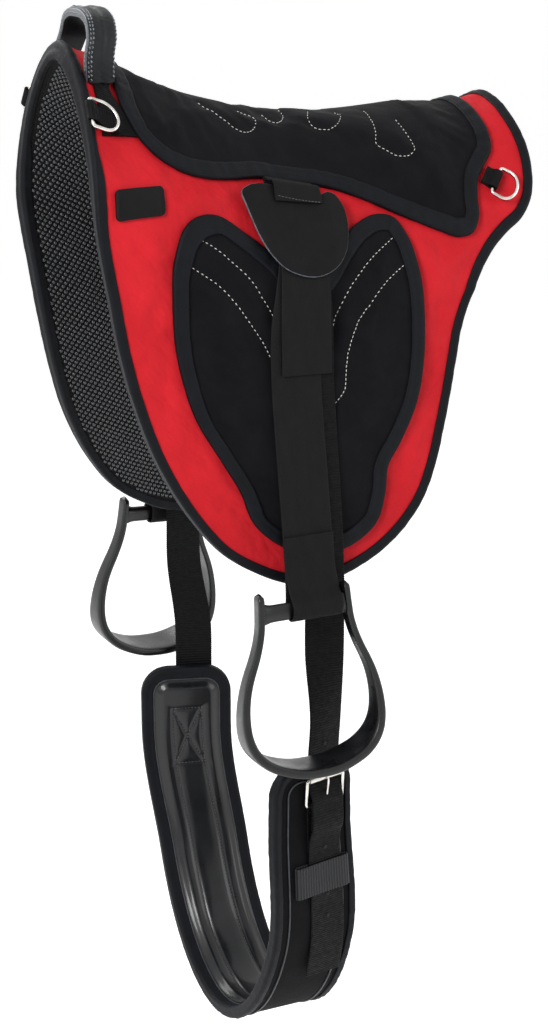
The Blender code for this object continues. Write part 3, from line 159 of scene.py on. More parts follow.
print("girth's length", 2 * girth_half_run)

# %% [markdown]
# A cutter traces smooth outlines from a few marks. Bezier curves could do it by hand. Here a
# smooth curve runs through listed points and is divided evenly, because even edges give even
# triangles.

# %% Smooth and straight outlines
def hermite(at, knots, values):
    """Smooth curve through the values, with unevenly spaced knots."""
    step = np.diff(knots)
    rise = np.diff(values, axis=0) / step[:, None]
    inner = rise[:-1] * step[1:, None] + rise[1:] * step[:-1, None]
    inner = inner / (step[:-1] + step[1:])[:, None]
    slope = np.vstack([rise[:1], inner, rise[-1:]])
    i = np.clip(np.searchsorted(knots, at) - 1, 0, len(step) - 1)
    t = ((at - knots[i]) / step[i])[:, None]
    h = step[i][:, None]
    start = (2 * t ** 3 - 3 * t ** 2 + 1) * values[i] + (t ** 3 - 2 * t ** 2 + t) * h * slope[i]
    end = (3 * t ** 2 - 2 * t ** 3) * values[i + 1] + (t ** 3 - t ** 2) * h * slope[i + 1]
    return start + end


def even(points, step, closed=False):
    """The smooth curve through the points at an even step."""
    points = np.array(points, float)
    if closed:
        points = np.vstack([points[-3:], points, points[:4]])
    knots = length_along(points)
    low, high = (knots[3], knots[-4]) if closed else (0, knots[-1])
    fine = hermite(np.linspace(low, high, 4000), knots, points)
    run = length_along(fine)
    at = np.linspace(0, run[-1], max(8, round(run[-1] / step)) + 1)
    even_points = np.stack([np.interp(at, run, column) for column in fine.T], axis=-1)
    return even_points[:-1] if closed else even_points


def dense(corners, step):
    """Closed outline with straight sides and points at an even step."""
    corners = np.array(corners, float)
    line = []
    for a, b in zip(corners, np.roll(corners, -1, 0)):
        count = max(1, round(np.linalg.norm(b - a) / step))
        line += [a + (b - a) * k / count for k in range(count)]
    return np.array(line)


def arc(centre, radius, start, end, steps):
    angles = np.radians(np.linspace(start, end, steps))
    return [(centre[0] + radius * cos(a), centre[1] + radius * sin(a)) for a in angles]


def tangents(line, closed=False):
    if closed:
        return unit(np.roll(line, -1, 0) - np.roll(line, 1, 0))
    return unit(np.gradient(line, axis=0))


def turned_inwards(ring):
    tangent = tangents(ring, True)
    normal = np.stack([-tangent[:, 1], tangent[:, 0]], axis=-1)
    ahead = np.roll(ring, -1, 0)
    return normal * np.sign(np.sum(ring[:, 0] * ahead[:, 1] - ring[:, 1] * ahead[:, 0]))


# %% [markdown]
# A cut is a flat shape with an edge. Blender could fill it with one face and subdivide that,
# but long thin triangles fold badly. A staggered grid inside the outline bends well in every
# direction, and suits the cloth runs. The distance to the edge is kept, because seams, borders
# and swellings all depend on it.

# %% Flat cuts
def distance_to(points, line, closed=False):
    line = np.array(line)
    ends = np.roll(line, -1, 0) if closed else line[1:]
    best = np.full(len(points), np.inf)
    for a, b in zip(line if closed else line[:-1], ends):
        along = np.clip((points - a) @ (b - a) / max((b - a) @ (b - a), 1e-18), 0, 1)
        best = np.minimum(best, ((points - a - along[:, None] * (b - a)) ** 2).sum(axis=1))
    return np.sqrt(best)


def is_inside(points, ring):
    inside = np.zeros(len(points), bool)
    for (x0, y0), (x1, y1) in zip(ring, np.roll(ring, -1, 0)):
        crosses = (y0 > points[:, 1]) != (y1 > points[:, 1])
        rise = y1 - y0 if y1 != y0 else 1
        inside ^= crosses & (points[:, 0] < x0 + (points[:, 1] - y0) * (x1 - x0) / rise)
    return inside


class Cut:
    """A flat piece of cloth, cut to an outline and meshed on a staggered grid."""

    def __init__(self, outline, step):
        low, high = outline.min(axis=0), outline.max(axis=0)
        grid = []
        for k, run in enumerate(np.arange(low[1] + step / 3, high[1], step * 0.866)):
            x = np.arange(low[0] + step * (0.5 if k % 2 else 0.1), high[0], step)
            grid.append(np.stack([x, np.full(len(x), run)], axis=-1))
        grid = np.vstack(grid)
        grid = grid[is_inside(grid, outline)]
        grid = grid[distance_to(grid, outline, True) > step * 0.45]
        points = [Vector(p) for p in np.vstack([outline, grid])]
        edges = [(i, (i + 1) % len(outline)) for i in range(len(outline))]
        result = delaunay_2d_cdt(points, edges, [], 1, 1e-7)
        self.flat = np.array([(p.x, p.y) for p in result[0]])
        self.triangles = np.array([list(face) for face in result[2]])
        self.inset = distance_to(self.flat, outline, True)
        print("cut of", len(self.flat), "points and", len(self.triangles), "triangles")


# %% [markdown]
# These are the paper patterns. Their points could be in metres, but as shares of a size they
# let a pattern grow with its size. One half is listed and mirrored, as a cutter folds the
# cloth. The decorative stitches are short lists of marks in millimetres, of a plain curved
# kind.

# %% Outlines, as shares of the pad's half length, of the drops and of the other sizes
pad_shares = [
    (-1.0, 0.0), (-1.0, 0.14), (-1.004, 0.30), (-1.0, 0.41), (-0.985, 0.47), (-0.955, 0.55),
    (-0.914, 0.66), (-0.864, 0.757), (-0.782, 0.859), (-0.673, 0.932), (-0.545, 0.98),
    (-0.40, 0.996), (-0.22, 0.998), (-0.02, 0.970), (0.10, 0.943), (0.20, 0.910),
    (0.28, 0.873), (0.34, 0.835), (0.395, 0.78), (0.45, 0.70), (0.49, 0.63), (0.523, 0.560),
    (0.555, 0.486), (0.60, 0.428), (0.65, 0.39), (0.718, 0.359), (0.80, 0.336),
    (0.87, 0.322), (0.93, 0.295), (0.97, 0.245), (0.99, 0.184), (0.995, 0.114), (1.0, 0.0)]
seat_shares = [
    (-0.850, 0.0), (-0.850, 0.31), (-0.845, 0.540), (-0.812, 0.676), (-0.745, 0.755),
    (-0.636, 0.779), (-0.536, 0.748), (-0.414, 0.683), (-0.277, 0.607), (-0.159, 0.598),
    (-0.045, 0.602), (0.045, 0.634), (0.177, 0.717), (0.30, 0.814), (0.40, 0.885),
    (0.486, 0.945), (0.568, 0.993), (0.63, 0.985), (0.664, 0.92), (0.68, 0.814),
    (0.709, 0.703), (0.764, 0.621), (0.818, 0.545), (0.845, 0.43), (0.855, 0.25), (0.855, 0.0)]
knee_shares = [
    (-1.0, 0.343), (-0.983, 0.220), (-0.915, 0.143), (-0.797, 0.094), (-0.644, 0.070),
    (-0.466, 0.087), (-0.220, 0.126), (-0.076, 0.164), (0.059, 0.178), (0.195, 0.143),
    (0.364, 0.073), (0.534, 0.021), (0.695, 0.0), (0.822, 0.010), (0.898, 0.056),
    (0.958, 0.140), (1.0, 0.290), (0.992, 0.413), (0.924, 0.545), (0.763, 0.671),
    (0.636, 0.748), (0.602, 0.825), (0.517, 0.916), (0.331, 0.972), (0.0, 1.0),
    (-0.297, 0.993), (-0.449, 0.958), (-0.551, 0.867), (-0.686, 0.790), (-0.847, 0.699),
    (-0.949, 0.570)]
tab_shares = [
    (-0.50, 0.0), (-0.86, 0.05), (-1.0, 0.16), (-0.955, 0.32), (-0.89, 0.49), (-0.80, 0.68),
    (-0.66, 0.85), (-0.45, 0.955), (-0.17, 1.0), (0.14, 1.0), (0.42, 0.945), (0.66, 0.84),
    (0.83, 0.70), (0.925, 0.53), (0.97, 0.30), (0.94, 0.12), (0.84, 0.0), (0.70, -0.02),
    (0.50, 0.03), (0.0, 0.02)]
stirrup_shares = [
    (0.64, 0.0), (0.645, 0.054), (0.655, 0.12), (0.672, 0.19), (0.715, 0.265), (0.785, 0.345),
    (0.86, 0.415), (0.92, 0.48), (0.968, 0.555), (1.0, 0.65), (0.995, 0.74), (0.945, 0.815),
    (0.85, 0.875), (0.70, 0.927), (0.50, 0.965), (0.27, 0.992), (0.0, 1.0)]
handle_shares = [
    (-1.0, 0.32, 0.15), (-0.985, 0.60, 0.27), (-0.80, 0.85, 0.40), (-0.47, 0.975, 0.52),
    (0.0, 1.0, 0.68), (0.47, 0.975, 0.84), (0.80, 0.85, 0.96), (0.985, 0.60, 1.0),
    (1.0, 0.32, 0.75)]
seat_stitch_mm = [
    [(-104, 27), (-92, 35), (-78, 43), (-67, 46), (-58, 43), (-50, 35), (-48, 26), (-54, 22),
     (-63, 22)],
    [(-33, 17), (-28, 24), (-22, 26), (-12, 20), (-6, 11), (-6, 5)],
    [(21, 11), (14, 24), (15, 32), (26, 37), (35, 35), (44, 28), (50, 18), (50, 11)],
    [(79, 14), (75, 34), (71, 48), (67, 58), (75, 66), (85, 73), (93, 74), (101, 70),
     (103, 62), (102, 50), (101, 34)]]
knee_stitch_mm = [
    [(-135, 164), (-122, 165), (-108, 169), (-93, 175), (-81, 182), (-72, 192), (-63, 207)],
    [(-143, 184), (-130, 186), (-116, 190), (-103, 199), (-90, 212), (-78, 226), (-70, 241),
     (-64, 266)],
    [(59, 139), (46, 146), (31, 155), (17, 166), (5, 177), (-5, 191), (-12, 213)],
    [(66, 160), (48, 169), (31, 180), (17, 195), (8, 214), (3, 231), (1, 247), (-1, 262),
     (-12, 276), (-22, 290)]]


pad_drop, seat_drop, knee_drop = 0.440, 0.145, 0.286
knee_x, knee_top, knee_half = -0.037, 0.122, 0.118


def both_sides(half):
    return half + [(x, -run) for x, run in half[1:-1]][::-1]


def from_shares(shares, x0, x_size, run0, run_size):
    return [(x0 + x * x_size, run0 + run * run_size) for x, run in shares]


pad_outline = even(both_sides(from_shares(pad_shares, 0, half_length, 0, pad_drop)),
                   0.0045, True)
seat_outline = even(both_sides(from_shares(seat_shares, 0, half_length, 0, seat_drop)),
                    0.0035, True)
knee_outline = even(from_shares(knee_shares, knee_x, knee_half, knee_top, knee_drop),
                    0.0035, True)
print("points on the outlines", len(pad_outline), len(seat_outline), len(knee_outline))

# %% [markdown]
# The pad is made of nylon, suede, webbing, neoprene, vinyl, leather, rubber, plastic and
# nickel-plated steel. Image textures could show them, but nodes need no files and stay sharp
# at any distance. A material is a colour between two codes, a relief and a gloss, and each of
# the three follows a pattern.

# %% Colours and nodes
def rgb(code):
    """Linear colour of a hex sRGB code."""
    parts = [int(code[i:i + 2], 16) / 255 for i in (1, 3, 5)]
    return [c / 12.92 if c < 0.04045 else ((c + 0.055) / 1.055) ** 2.4 for c in parts] + [1.0]


def add(tree, kind, inputs=None, **settings):
    """Adds a node with its settings. Each input gets a value, or a link from a socket."""
    node = tree.nodes.new(kind)
    for name, value in settings.items():
        setattr(node, name, value)
    for socket, value in (inputs or {}).items():
        if isinstance(value, bpy.types.NodeSocket):
            tree.links.new(value, node.inputs[socket])
        else:
            node.inputs[socket].default_value = value
    return node


# %% [markdown]
# Cloth shows its threads and its soft unevenness, leather and plastic their grain. A pattern
# that follows the cloth reads the flat cut as UV map, and the others read Object coordinates.
# Both are in metres, so that each pattern is given by its real size in millimetres.

# %% Patterns, by their real size in millimetres
def mottle(size, detail=3.0, roughness=0.55, flat=False, stretch=(1, 1, 1)):
    """Random patches or grains of about that size, from 0 to 1."""
    def pattern(tree):
        if flat:
            place = add(tree, "ShaderNodeUVMap", uv_map="flat").outputs["UV"]
        else:
            place = add(tree, "ShaderNodeTexCoord").outputs["Object"]
        per_metre = [1000 / size * share for share in stretch]
        scaled = add(tree, "ShaderNodeVectorMath", {0: place, 1: per_metre},
                     operation="MULTIPLY").outputs[0]
        values = {"Vector": scaled, "Scale": 1.0, "Detail": detail, "Roughness": roughness}
        return add(tree, "ShaderNodeTexNoise", values).outputs["Fac"]
    return pattern


def ribs(axis, pitch):
    """Rounded ridges side by side along an axis of the flat cut, from 0 to 1."""
    def pattern(tree):
        place = add(tree, "ShaderNodeUVMap", uv_map="flat").outputs["UV"]
        value = add(tree, "ShaderNodeSeparateXYZ", {0: place}).outputs[axis]
        for operation, more in (("MULTIPLY", {1: 2000 * pi / pitch}), ("COSINE", {}),
                                ("MULTIPLY_ADD", {1: 0.5, 2: 0.5})):
            value = add(tree, "ShaderNodeMath", {0: value, **more},
                        operation=operation).outputs[0]
        return value
    return pattern


def woven(warp, weft):
    """Small pillows where the threads of two directions cross."""
    def pattern(tree):
        crossing = {0: ribs(0, warp)(tree), 1: ribs(1, weft)(tree)}
        return add(tree, "ShaderNodeMath", crossing, operation="MULTIPLY").outputs[0]
    return pattern


# %% [markdown]
# One recipe makes every material: the colours are mixed one over the other, the reliefs are
# pressed one after the other, and the gloss comes last. A tree drawn by hand for each would
# hide that they differ only in their patterns and numbers.

# %% One finish from its patterns
looks = {}


def finish(key, name, colour, roughness, shade, relief=(), over=(), gloss=None, shader=None):
    """shade: pattern, low, high and two codes. relief: patterns with depths in millimetres.
    over: further colours where a pattern is high. gloss: pattern and two roughnesses."""
    material = bpy.data.materials.new(name)
    material.use_nodes = True
    tree = material.node_tree
    surface = tree.nodes["Principled BSDF"]
    values = {"Base Color": rgb(colour), "Roughness": roughness, **(shader or {})}
    for title, value in values.items():
        surface.inputs[title].default_value = value
    pattern, low, high, below, above = shade
    shown = rgb(below)
    for pattern, low, high, code in [(pattern, low, high, above), *over]:
        share = add(tree, "ShaderNodeMapRange",
                    {"Value": pattern(tree), "From Min": low, "From Max": high}).outputs[0]
        shown = add(tree, "ShaderNodeMix", {0: share, 6: shown, 7: rgb(code)},
                    data_type="RGBA").outputs[2]
    tree.links.new(shown, surface.inputs["Base Color"])
    pressed = {}
    for pattern, depth in relief:
        pressed = {"Normal": add(tree, "ShaderNodeBump", {
            "Height": pattern(tree), "Distance": depth / 1000, "Strength": 1.0,
            **pressed}).outputs["Normal"]}
    if gloss:
        pattern, low, high = gloss
        pressed["Roughness"] = add(tree, "ShaderNodeMapRange", {
            "Value": pattern(tree), "From Min": 0.3, "From Max": 0.7,
            "To Min": low, "To Max": high}).outputs[0]
    for title, socket in pressed.items():
        tree.links.new(socket, surface.inputs[title])
    looks[key] = material
    print("finish:", name, len(tree.nodes), "nodes")


# %% [markdown]
# The cloths. Nylon and neoprene are woven or knitted, suede is brushed, and the lining is an
# open mesh. Sheen alone would make them all alike, so each has its own weave or nap as relief
# and its own slow change of colour. Blacks are told apart by their gloss, more than by colour.

# %% Cloths
# Red nylon, woven plain and laid over foam: a clear even red, a dull gloss, soft dents where
# the foam gives way. The threads are 0.3 mm wide and are drawn at 0.9 mm, so that they show.
finish("red_nylon", "red nylon", "#CC1C26", 0.6,
       (mottle(71.43, 4, flat=True), 0.3, 0.7, "#BE1620", "#D8222C"),
       [(woven(0.9, 0.9), 0.08), (mottle(41.67, 3, 0.6, flat=True), 4.2),
        (mottle(11.11, flat=True, stretch=(1, 0.5, 1)), 0.3)],
       over=[(mottle(0.625, 2, flat=True), 0.5, 0.9, "#DC333C")],
       shader={"Specular IOR Level": 0.15})
# Black suede, split leather with a brushed nap: no gloss at all, a faint sheen at the edge of
# a form, patches where the nap lies another way. The nap is drawn at 0.4 mm.
finish("suede", "black suede", "#0E0E0F", 0.92,
       (mottle(25, 5, 0.65, flat=True), 0.3, 0.75, "#0A0A0D", "#141418"),
       [(mottle(0.4167, 2), 0.12), (mottle(33.33), 1.2)],
       shader={"Sheen Weight": 0.03, "Sheen Roughness": 0.5, "Specular IOR Level": 0.12})
# Binding tape, woven polyester that is stretched over the edge: bluish black, a fine weave,
# a slight silky sheen and small puckers.
finish("binding", "binding tape", "#080A0E", 0.6,
       (mottle(16.67), 0.3, 0.7, "#040509", "#0A0C12"),
       [(woven(1.6, 1.1), 0.12), (mottle(7.143), 0.6)],
       shader={"Sheen Weight": 0.03, "Sheen Roughness": 0.35, "Sheen Tint": rgb("#5A6C8C"),
               "Specular IOR Level": 0.15})
# Mesh lining, knitted open from polyester: matt, and dark between its cells of 2.2 mm.
finish("mesh", "mesh lining", "#0D0D0E", 0.8,
       (mottle(3.333, flat=True), 0.35, 0.7, "#070708", "#161517"),
       [(woven(2.2, 2.2), 0.6)], shader={"Specular IOR Level": 0.2})
# Bobbles of soft PVC, printed wet on the mesh: rounded and smooth, each with a small light.
finish("dots", "mesh bobbles", "#242527", 0.25,
       (mottle(1.667, 2), 0.3, 0.7, "#18191B", "#3C3E41"), [(mottle(0.3333, 2), 0.2)],
       shader={"Specular IOR Level": 0.7})
# Neoprene, foam rubber with a knitted face: very matt, with soft dents. The knit of 0.4 mm is
# drawn at 1 mm.
finish("neoprene", "neoprene", "#08080A", 0.85,
       (mottle(22.22, 4, flat=True), 0.3, 0.7, "#060608", "#0D0D10"),
       [(woven(1.0, 1.0), 0.09), (mottle(31.25), 1.2)], shader={"Specular IOR Level": 0.12})

# %% [markdown]
# Webbing is woven thick, with ribs across it where the weft lies. A plain dark colour would
# look like rubber, so the ribs are pressed as relief and their crests are painted lighter, as
# painted highlights. The ribs follow the strap, because the flat cut's second axis runs along it.

# %% Webbing
# Black webbing of the billets and chapes, woven polypropylene: ribs every 2.6 mm, a dull gloss
# that is uneven where the strap was pulled through buckles. The colour is painted darker in the
# grooves and lighter on the crests, as painted shade and highlights.
finish("webbing", "black webbing", "#070708", 0.68, (ribs(1, 2.6), 0.0, 1.0, "#040405", "#0C0C0E"),
       [(ribs(1, 2.6), 0.35), (woven(1.2, 1.3), 0.2)], gloss=(mottle(5, flat=True), 0.5, 0.75),
       shader={"Specular IOR Level": 0.12})
# Strap webbing, woven from finer nylon: an even face, a little paler on the crest of each
# thread along it. The threads of 0.8 mm are drawn at 1.6 mm.
finish("strap_webbing", "strap webbing", "#09090A", 0.68,
       (mottle(20, 4, 0.6, flat=True, stretch=(2, 0.6, 1)), 0.3, 0.7, "#070708", "#101011"),
       [(woven(1.6, 1.6), 0.18), (mottle(22.22, flat=True), 1.0)],
       over=[(ribs(0, 1.6), 0.7, 1.6, "#1A1A1C")], shader={"Specular IOR Level": 0.15})
# Keeper webbing, elastic woven over rubber: strong ribs every 3.1 mm that catch the light; each
# crest is painted much lighter than the grooves, as a painted highlight.
finish("keeper", "keeper webbing", "#1A1B1D", 0.6, (ribs(1, 3.1), 0.0, 1.0, "#08080A", "#2C2D31"),
       [(ribs(1, 3.1), 0.9), (woven(1.2, 1.1), 0.2)], shader={"Specular IOR Level": 0.3})
# White thread, bonded nylon: bright and even, with a fine twist.
finish("thread", "white thread", "#E8E6E0", 0.6,
       (mottle(1.111, 2), 0.3, 0.7, "#D4D1C8", "#F4F2EC"), [(mottle(0.3846, 2), 0.2)])
# Black thread, bonded and waxed: it is painted a little paler than cloth, as painted sheen for its
# gloss.
finish("black_thread", "black thread", "#4A4A4E", 0.5,
       (mottle(1.111, 2), 0.3, 0.7, "#303034", "#5E5E64"))

# %% [markdown]
# The skins: vinyl, leather and rubber. All three are grained, and they differ by their gloss
# and by how deep the grain is. A clear coat on the vinyl gives the long soft lights that show
# how the padding swells.

# %% Skins
# Glossy vinyl, a sheet of PVC with a pressed fine grain of 1 mm: black and wet-looking, with
# long lights on every swell.
finish("vinyl", "glossy vinyl", "#0A0B0D", 0.32,
       (mottle(33.33), 0.3, 0.7, "#07080A", "#0E1013"),
       [(mottle(1.111, 4, 0.6), 0.12), (mottle(41.67, 2), 0.7)],
       gloss=(mottle(16.67, 4), 0.26, 0.38),
       shader={"Coat Weight": 0.35, "Coat Roughness": 0.14, "Specular IOR Level": 0.25})
# Piping, extruded PVC cord: a smooth grey line with a soft light along it.
finish("piping", "piping", "#3B3E44", 0.45,
       (mottle(8.333), 0.3, 0.7, "#1C1E22", "#34373D"), [(mottle(0.8333, 2), 0.2)])
# Black leather, drum-dyed and rolled: a dull gloss over pores of 0.7 mm.
finish("leather", "black leather", "#0B0B0C", 0.7,
       (mottle(16.67, 5, 0.65), 0.3, 0.7, "#080809", "#101012"),
       [(mottle(0.6667, 4, 0.7), 0.25), (mottle(16.67), 0.6)],
       shader={"Specular IOR Level": 0.15})
# Cut leather edge: grey and rough, drawn paler than the leather's face.
finish("cut_edge", "cut leather edge", "#6C7076", 0.6,
       (mottle(5, 4), 0.3, 0.7, "#3C4046", "#6C7178"), [(mottle(0.6667), 0.2)])
# Bare rubber, pressed in a plate mould: flat black with a faint, uneven gloss.
finish("rubber", "bare rubber", "#08080A", 0.5,
       (mottle(12.5, 4), 0.3, 0.7, "#060607", "#0C0C0E"), [(mottle(0.7143), 0.1)],
       gloss=(mottle(20), 0.45, 0.6), shader={"Specular IOR Level": 0.15})

# %% [markdown]
# The hard parts and the grip. Plastic keeps the fine spark grain of its mould, and plated
# steel mirrors the studio, with a slight haze from handling. The metal keeps the default IOR,
# and its colour does the rest.

# %% Plastic, metal and the grip
# Moulded plastic of the stirrups, glass-filled nylon from a spark-eroded mould: black, half
# glossy, with faint sink marks. The spark grain of 0.2 mm is drawn at 1.4 mm, so that it shows.
finish("stirrup_plastic", "moulded plastic", "#0A0B0D", 0.28,
       (mottle(28.57, 4), 0.3, 0.7, "#08090A", "#0F1013"),
       [(mottle(1.4286, 4, 0.6), 0.12), (mottle(40, 2), 0.8)],
       gloss=(mottle(14.29, 4), 0.24, 0.4),
       shader={"Specular IOR Level": 0.38, "Coat Weight": 0.1, "Coat Roughness": 0.3})
# Nickel plate on bent steel wire, barrel-polished: a warm mirror with hazy spots.
finish("nickel", "nickel plate", "#D6D3CC", 0.16,
       (mottle(11.11), 0.3, 0.7, "#BDB9B1", "#E6E4DF"), [(mottle(2, 4, 0.7), 0.08)],
       gloss=(mottle(6.25, 4), 0.1, 0.26), shader={"Metallic": 1.0})
# Padded grip, moulded foam with a skin: dark and softly glossy, with a grain of 0.8 mm.
finish("grip", "padded grip", "#090B0E", 0.42,
       (mottle(8.333, 4), 0.3, 0.7, "#06080A", "#0E1115"), [(mottle(0.7692, 4, 0.7), 0.35)],
       gloss=(mottle(11.11), 0.4, 0.58), shader={"Specular IOR Level": 0.3})
# Perforated facing, coated cloth along the grip's edge: its grey is painted sheen where that edge
# catches the light, broken by a random grain.
finish("facing", "perforated facing with painted sheen", "#2C3036", 0.34,
       (mottle(2), 0.35, 0.65, "#16191D", "#4A5058"), [(mottle(0.8333), 0.3)],
       shader={"Specular IOR Level": 0.6})
# Punched hole: a dark disc without gloss, standing for a hole: painted shade inside it, over the
# dark cloth behind.
finish("punched", "punched hole", "#08090A", 0.9,
       (mottle(1.111, 2), 0.3, 0.7, "#050506", "#0C0D0F"))
# Perforation rim: the skin melts to a shiny lip where a hot pin went through; its pale grey is a
# painted glint on that lip.
finish("glint", "perforation rim glint", "#7C828A", 0.3,
       (mottle(2.5, 2), 0.3, 0.7, "#3A3F46", "#B4BAC2"), shader={"Specular IOR Level": 0.7})

# %% [markdown]
# Sewn goods are built from few kinds of parts: slabs of padded cloth, tubes of wire, ribbons
# of webbing and tapes folded over an edge. Modifiers such as Solidify could thicken a sheet.
# Here each kind has one function that writes its vertices, because both faces must follow the
# horse's back at exact heights.

# %% Making and dressing a piece
root = "pad_and_girth"
slots = {"grip": "handle_webbing", "facing": "handle_webbing", "keeper": "webbing",
         "dots": "mesh", "piping": "neoprene", "punched": "handle_webbing",
         "glint": "handle_webbing", "cut_edge": "leather"}


def dress(made, look, body=root, replaces=()):
    """Hides the solids that a piece stands for and hangs it on what it rides on."""
    if look not in ("thread", "black_thread"):
        slots.get(look, look)
    if replaces:
        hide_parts(*replaces)
    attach(made, body)
    return made


def placed(name, mesh):
    made = bpy.data.objects.new(name, mesh)
    scene.collection.objects.link(made)
    return made


def piece(name, vertices, faces, look, body=root, replaces=(), flat=None, sharp=50):
    mesh = bpy.data.meshes.new(name)
    mesh.from_pydata(np.asarray(vertices, float).tolist(), [],
                     [tuple(int(i) for i in face) for face in faces])
    shape = bmesh.new()
    shape.from_mesh(mesh)
    bmesh.ops.recalc_face_normals(shape, faces=shape.faces)
    shape.to_mesh(mesh)
    shape.free()
    mesh.shade_smooth()
    if sharp:
        mesh.set_sharp_from_angle(angle=radians(sharp))
    if flat is not None:
        corners = np.empty(len(mesh.loops), np.int32)
        mesh.loops.foreach_get("vertex_index", corners)
        layer = mesh.uv_layers.new(name="flat")
        layer.data.foreach_set("uv", np.asarray(flat, np.float32)[corners].ravel())
    mesh.materials.append(looks[look])
    print(name, len(mesh.polygons), "faces")
    return dress(placed(name, mesh), look, body, replaces)


def skin(rings, around, closed=False, start=0):
    """Faces from ring to ring of points, with a cap on each end of an open row."""
    faces = []
    for i in range(rings if closed else rings - 1):
        here, there = start + i * around, start + (i + 1) % rings * around
        for k in range(around):
            m = (k + 1) % around
            faces.append((here + k, here + m, there + m, there + k))
    if not closed:
        last = start + (rings - 1) * around
        faces += [tuple(range(start, start + around))[::-1], tuple(range(last, last + around))]
    return faces


# %% [markdown]
# A layer of cloth or foam is a slab: the cut's triangles above, the same below, and a strip
# between them along the edge. Its upper face may be given point by point, when it swells.

# %% Slabs of cloth
def cloth_piece(name, cut, low, high, place, look, upper=None, **more):
    """Closed slab of a cut between two heights, or up to given points."""
    count = len(cut.flat)
    x, run = cut.flat.T
    lower = place(x, run, np.broadcast_to(low, count))
    if upper is None:
        upper = place(x, run, np.broadcast_to(high, count))
    faces, edges = [], {}
    for a, b, c in cut.triangles:
        faces += [(a, b, c), (c + count, b + count, a + count)]
        for one, two in ((a, b), (b, c), (c, a)):
            edges[(one, two)] = 1
    for one, two in edges:
        if (two, one) not in edges:
            faces.append((two, one, one + count, two + count))
    return piece(name, np.vstack([lower, upper]), faces, look,
                 flat=np.vstack([cut.flat, cut.flat]), **more)


# %% [markdown]
# Padding swells between its seams. Sculpting could show it, but Blender's Cloth finds the
# natural form: the upper face is pinned where other layers lie on it, a little pressure
# pushes it outwards, and gravity is off. A cap on the way keeps it clear of its neighbours.

# %% Cloth run for padded faces
cloth_frames, most_slide, pin_steps = 20, 0.0012, 20


def start_cloth(cloth, pressure, slack):
    run = cloth.modifiers.new("cloth", "CLOTH")
    stuff = run.settings
    stuff.vertex_group_mass = "held"
    stuff.quality = 6
    stuff.tension_stiffness = 15
    stuff.compression_stiffness = 15
    stuff.shear_stiffness = 8
    stuff.bending_stiffness = 1.2
    stuff.use_pressure = True
    stuff.uniform_pressure_force = pressure
    stuff.shrink_min = -slack
    stuff.effector_weights.gravity = 0
    run.collision_settings.use_collision = False
    run.point_cache.frame_start = 1
    run.point_cache.frame_end = cloth_frames


def vectors_of(items, name):
    values = np.empty(len(items) * 3)
    items.foreach_get(name, values)
    return values.reshape(-1, 3)


def sewn(cut, upper, free, pressure, slack, lowest, highest, flip=False):
    """Cloth run of an upper face, held where free is 0. Returns the moved points."""
    mesh = bpy.data.meshes.new("cloth run")
    triangles = cut.triangles[:, ::-1] if flip else cut.triangles
    mesh.from_pydata(upper.tolist(), [], triangles.tolist())
    mesh.update()
    normals = vectors_of(mesh.vertices, "normal")
    cloth = placed("cloth run", mesh)
    held = cloth.vertex_groups.new(name="held")
    levels = np.round((1 - np.clip(free, 0, 1)) * pin_steps) / pin_steps
    for level in np.unique(levels):
        held.add(np.nonzero(levels == level)[0].tolist(), float(level), "REPLACE")
    start_cloth(cloth, pressure, slack)
    for number in range(1, cloth_frames + 1):
        scene.frame_set(number)
    shown = cloth.evaluated_get(bpy.context.evaluated_depsgraph_get())
    shift = vectors_of(shown.data.vertices, "co") - upper
    bpy.data.objects.remove(cloth)
    bpy.data.meshes.remove(mesh)
    scene.frame_set(1)
    rise = (shift * normals).sum(axis=1)
    slide = shift - rise[:, None] * normals
    size = np.linalg.norm(slide, axis=1, keepdims=True)
    slide = slide * np.minimum(1, most_slide / np.maximum(size, 1e-9))
    keep = np.clip(free * 4, 0, 1)[:, None]
    print("cloth run: rise of up to", round(float(rise.max()) * 1000, 2), "mm before the cap")
    return upper + (np.clip(rise, lowest, highest)[:, None] * normals + slide) * keep


# %% [markdown]
# Bent wire and piping are round bars along a path. A curve with a bevel could make them. A
# mesh is written here, so that its ends close and its rings keep one plane, as bent wire does.

# %% Round bars and wires
def tube(name, points, radius, look, sides=14, closed=False, body=root, replaces=()):
    points = np.array(points, float)
    plane = np.linalg.svd(points - points.mean(axis=0))[2][2]
    ahead = tangents(points, closed)
    side = unit(np.cross(ahead, plane))
    up = np.cross(side, ahead)
    turn = 2 * pi * np.arange(sides) / sides
    radius = np.broadcast_to(radius, len(points))[:, None, None]
    ring = np.cos(turn)[None, :, None] * side[:, None] + np.sin(turn)[None, :, None] * up[:, None]
    vertices = (points[:, None] + radius * ring).reshape(-1, 3)
    count = len(points)
    flat = np.stack([np.tile(turn * 0.001, count), np.repeat(length_along(points), sides)],
                    axis=-1)
    return piece(name, vertices, skin(count, sides, closed), look, body, replaces, flat=flat)


# %% [markdown]
# Webbing is woven flat and its edges are a little thinner. An array of planes would show
# joints at the bends. A ribbon between two edge lines keeps its width round every bend, and
# small teeth at the edges show where the weft turns.

# %% Ribbons of webbing
selvage_shares = np.array([-1, -0.985, -0.93, -0.8, -0.5, -0.2, 0.2, 0.5, 0.8, 0.93, 0.985, 1])
selvage_fullness = np.array([0.3, 0.75, 1, 1, 1, 1, 1, 1, 1, 1, 0.75, 0.3])


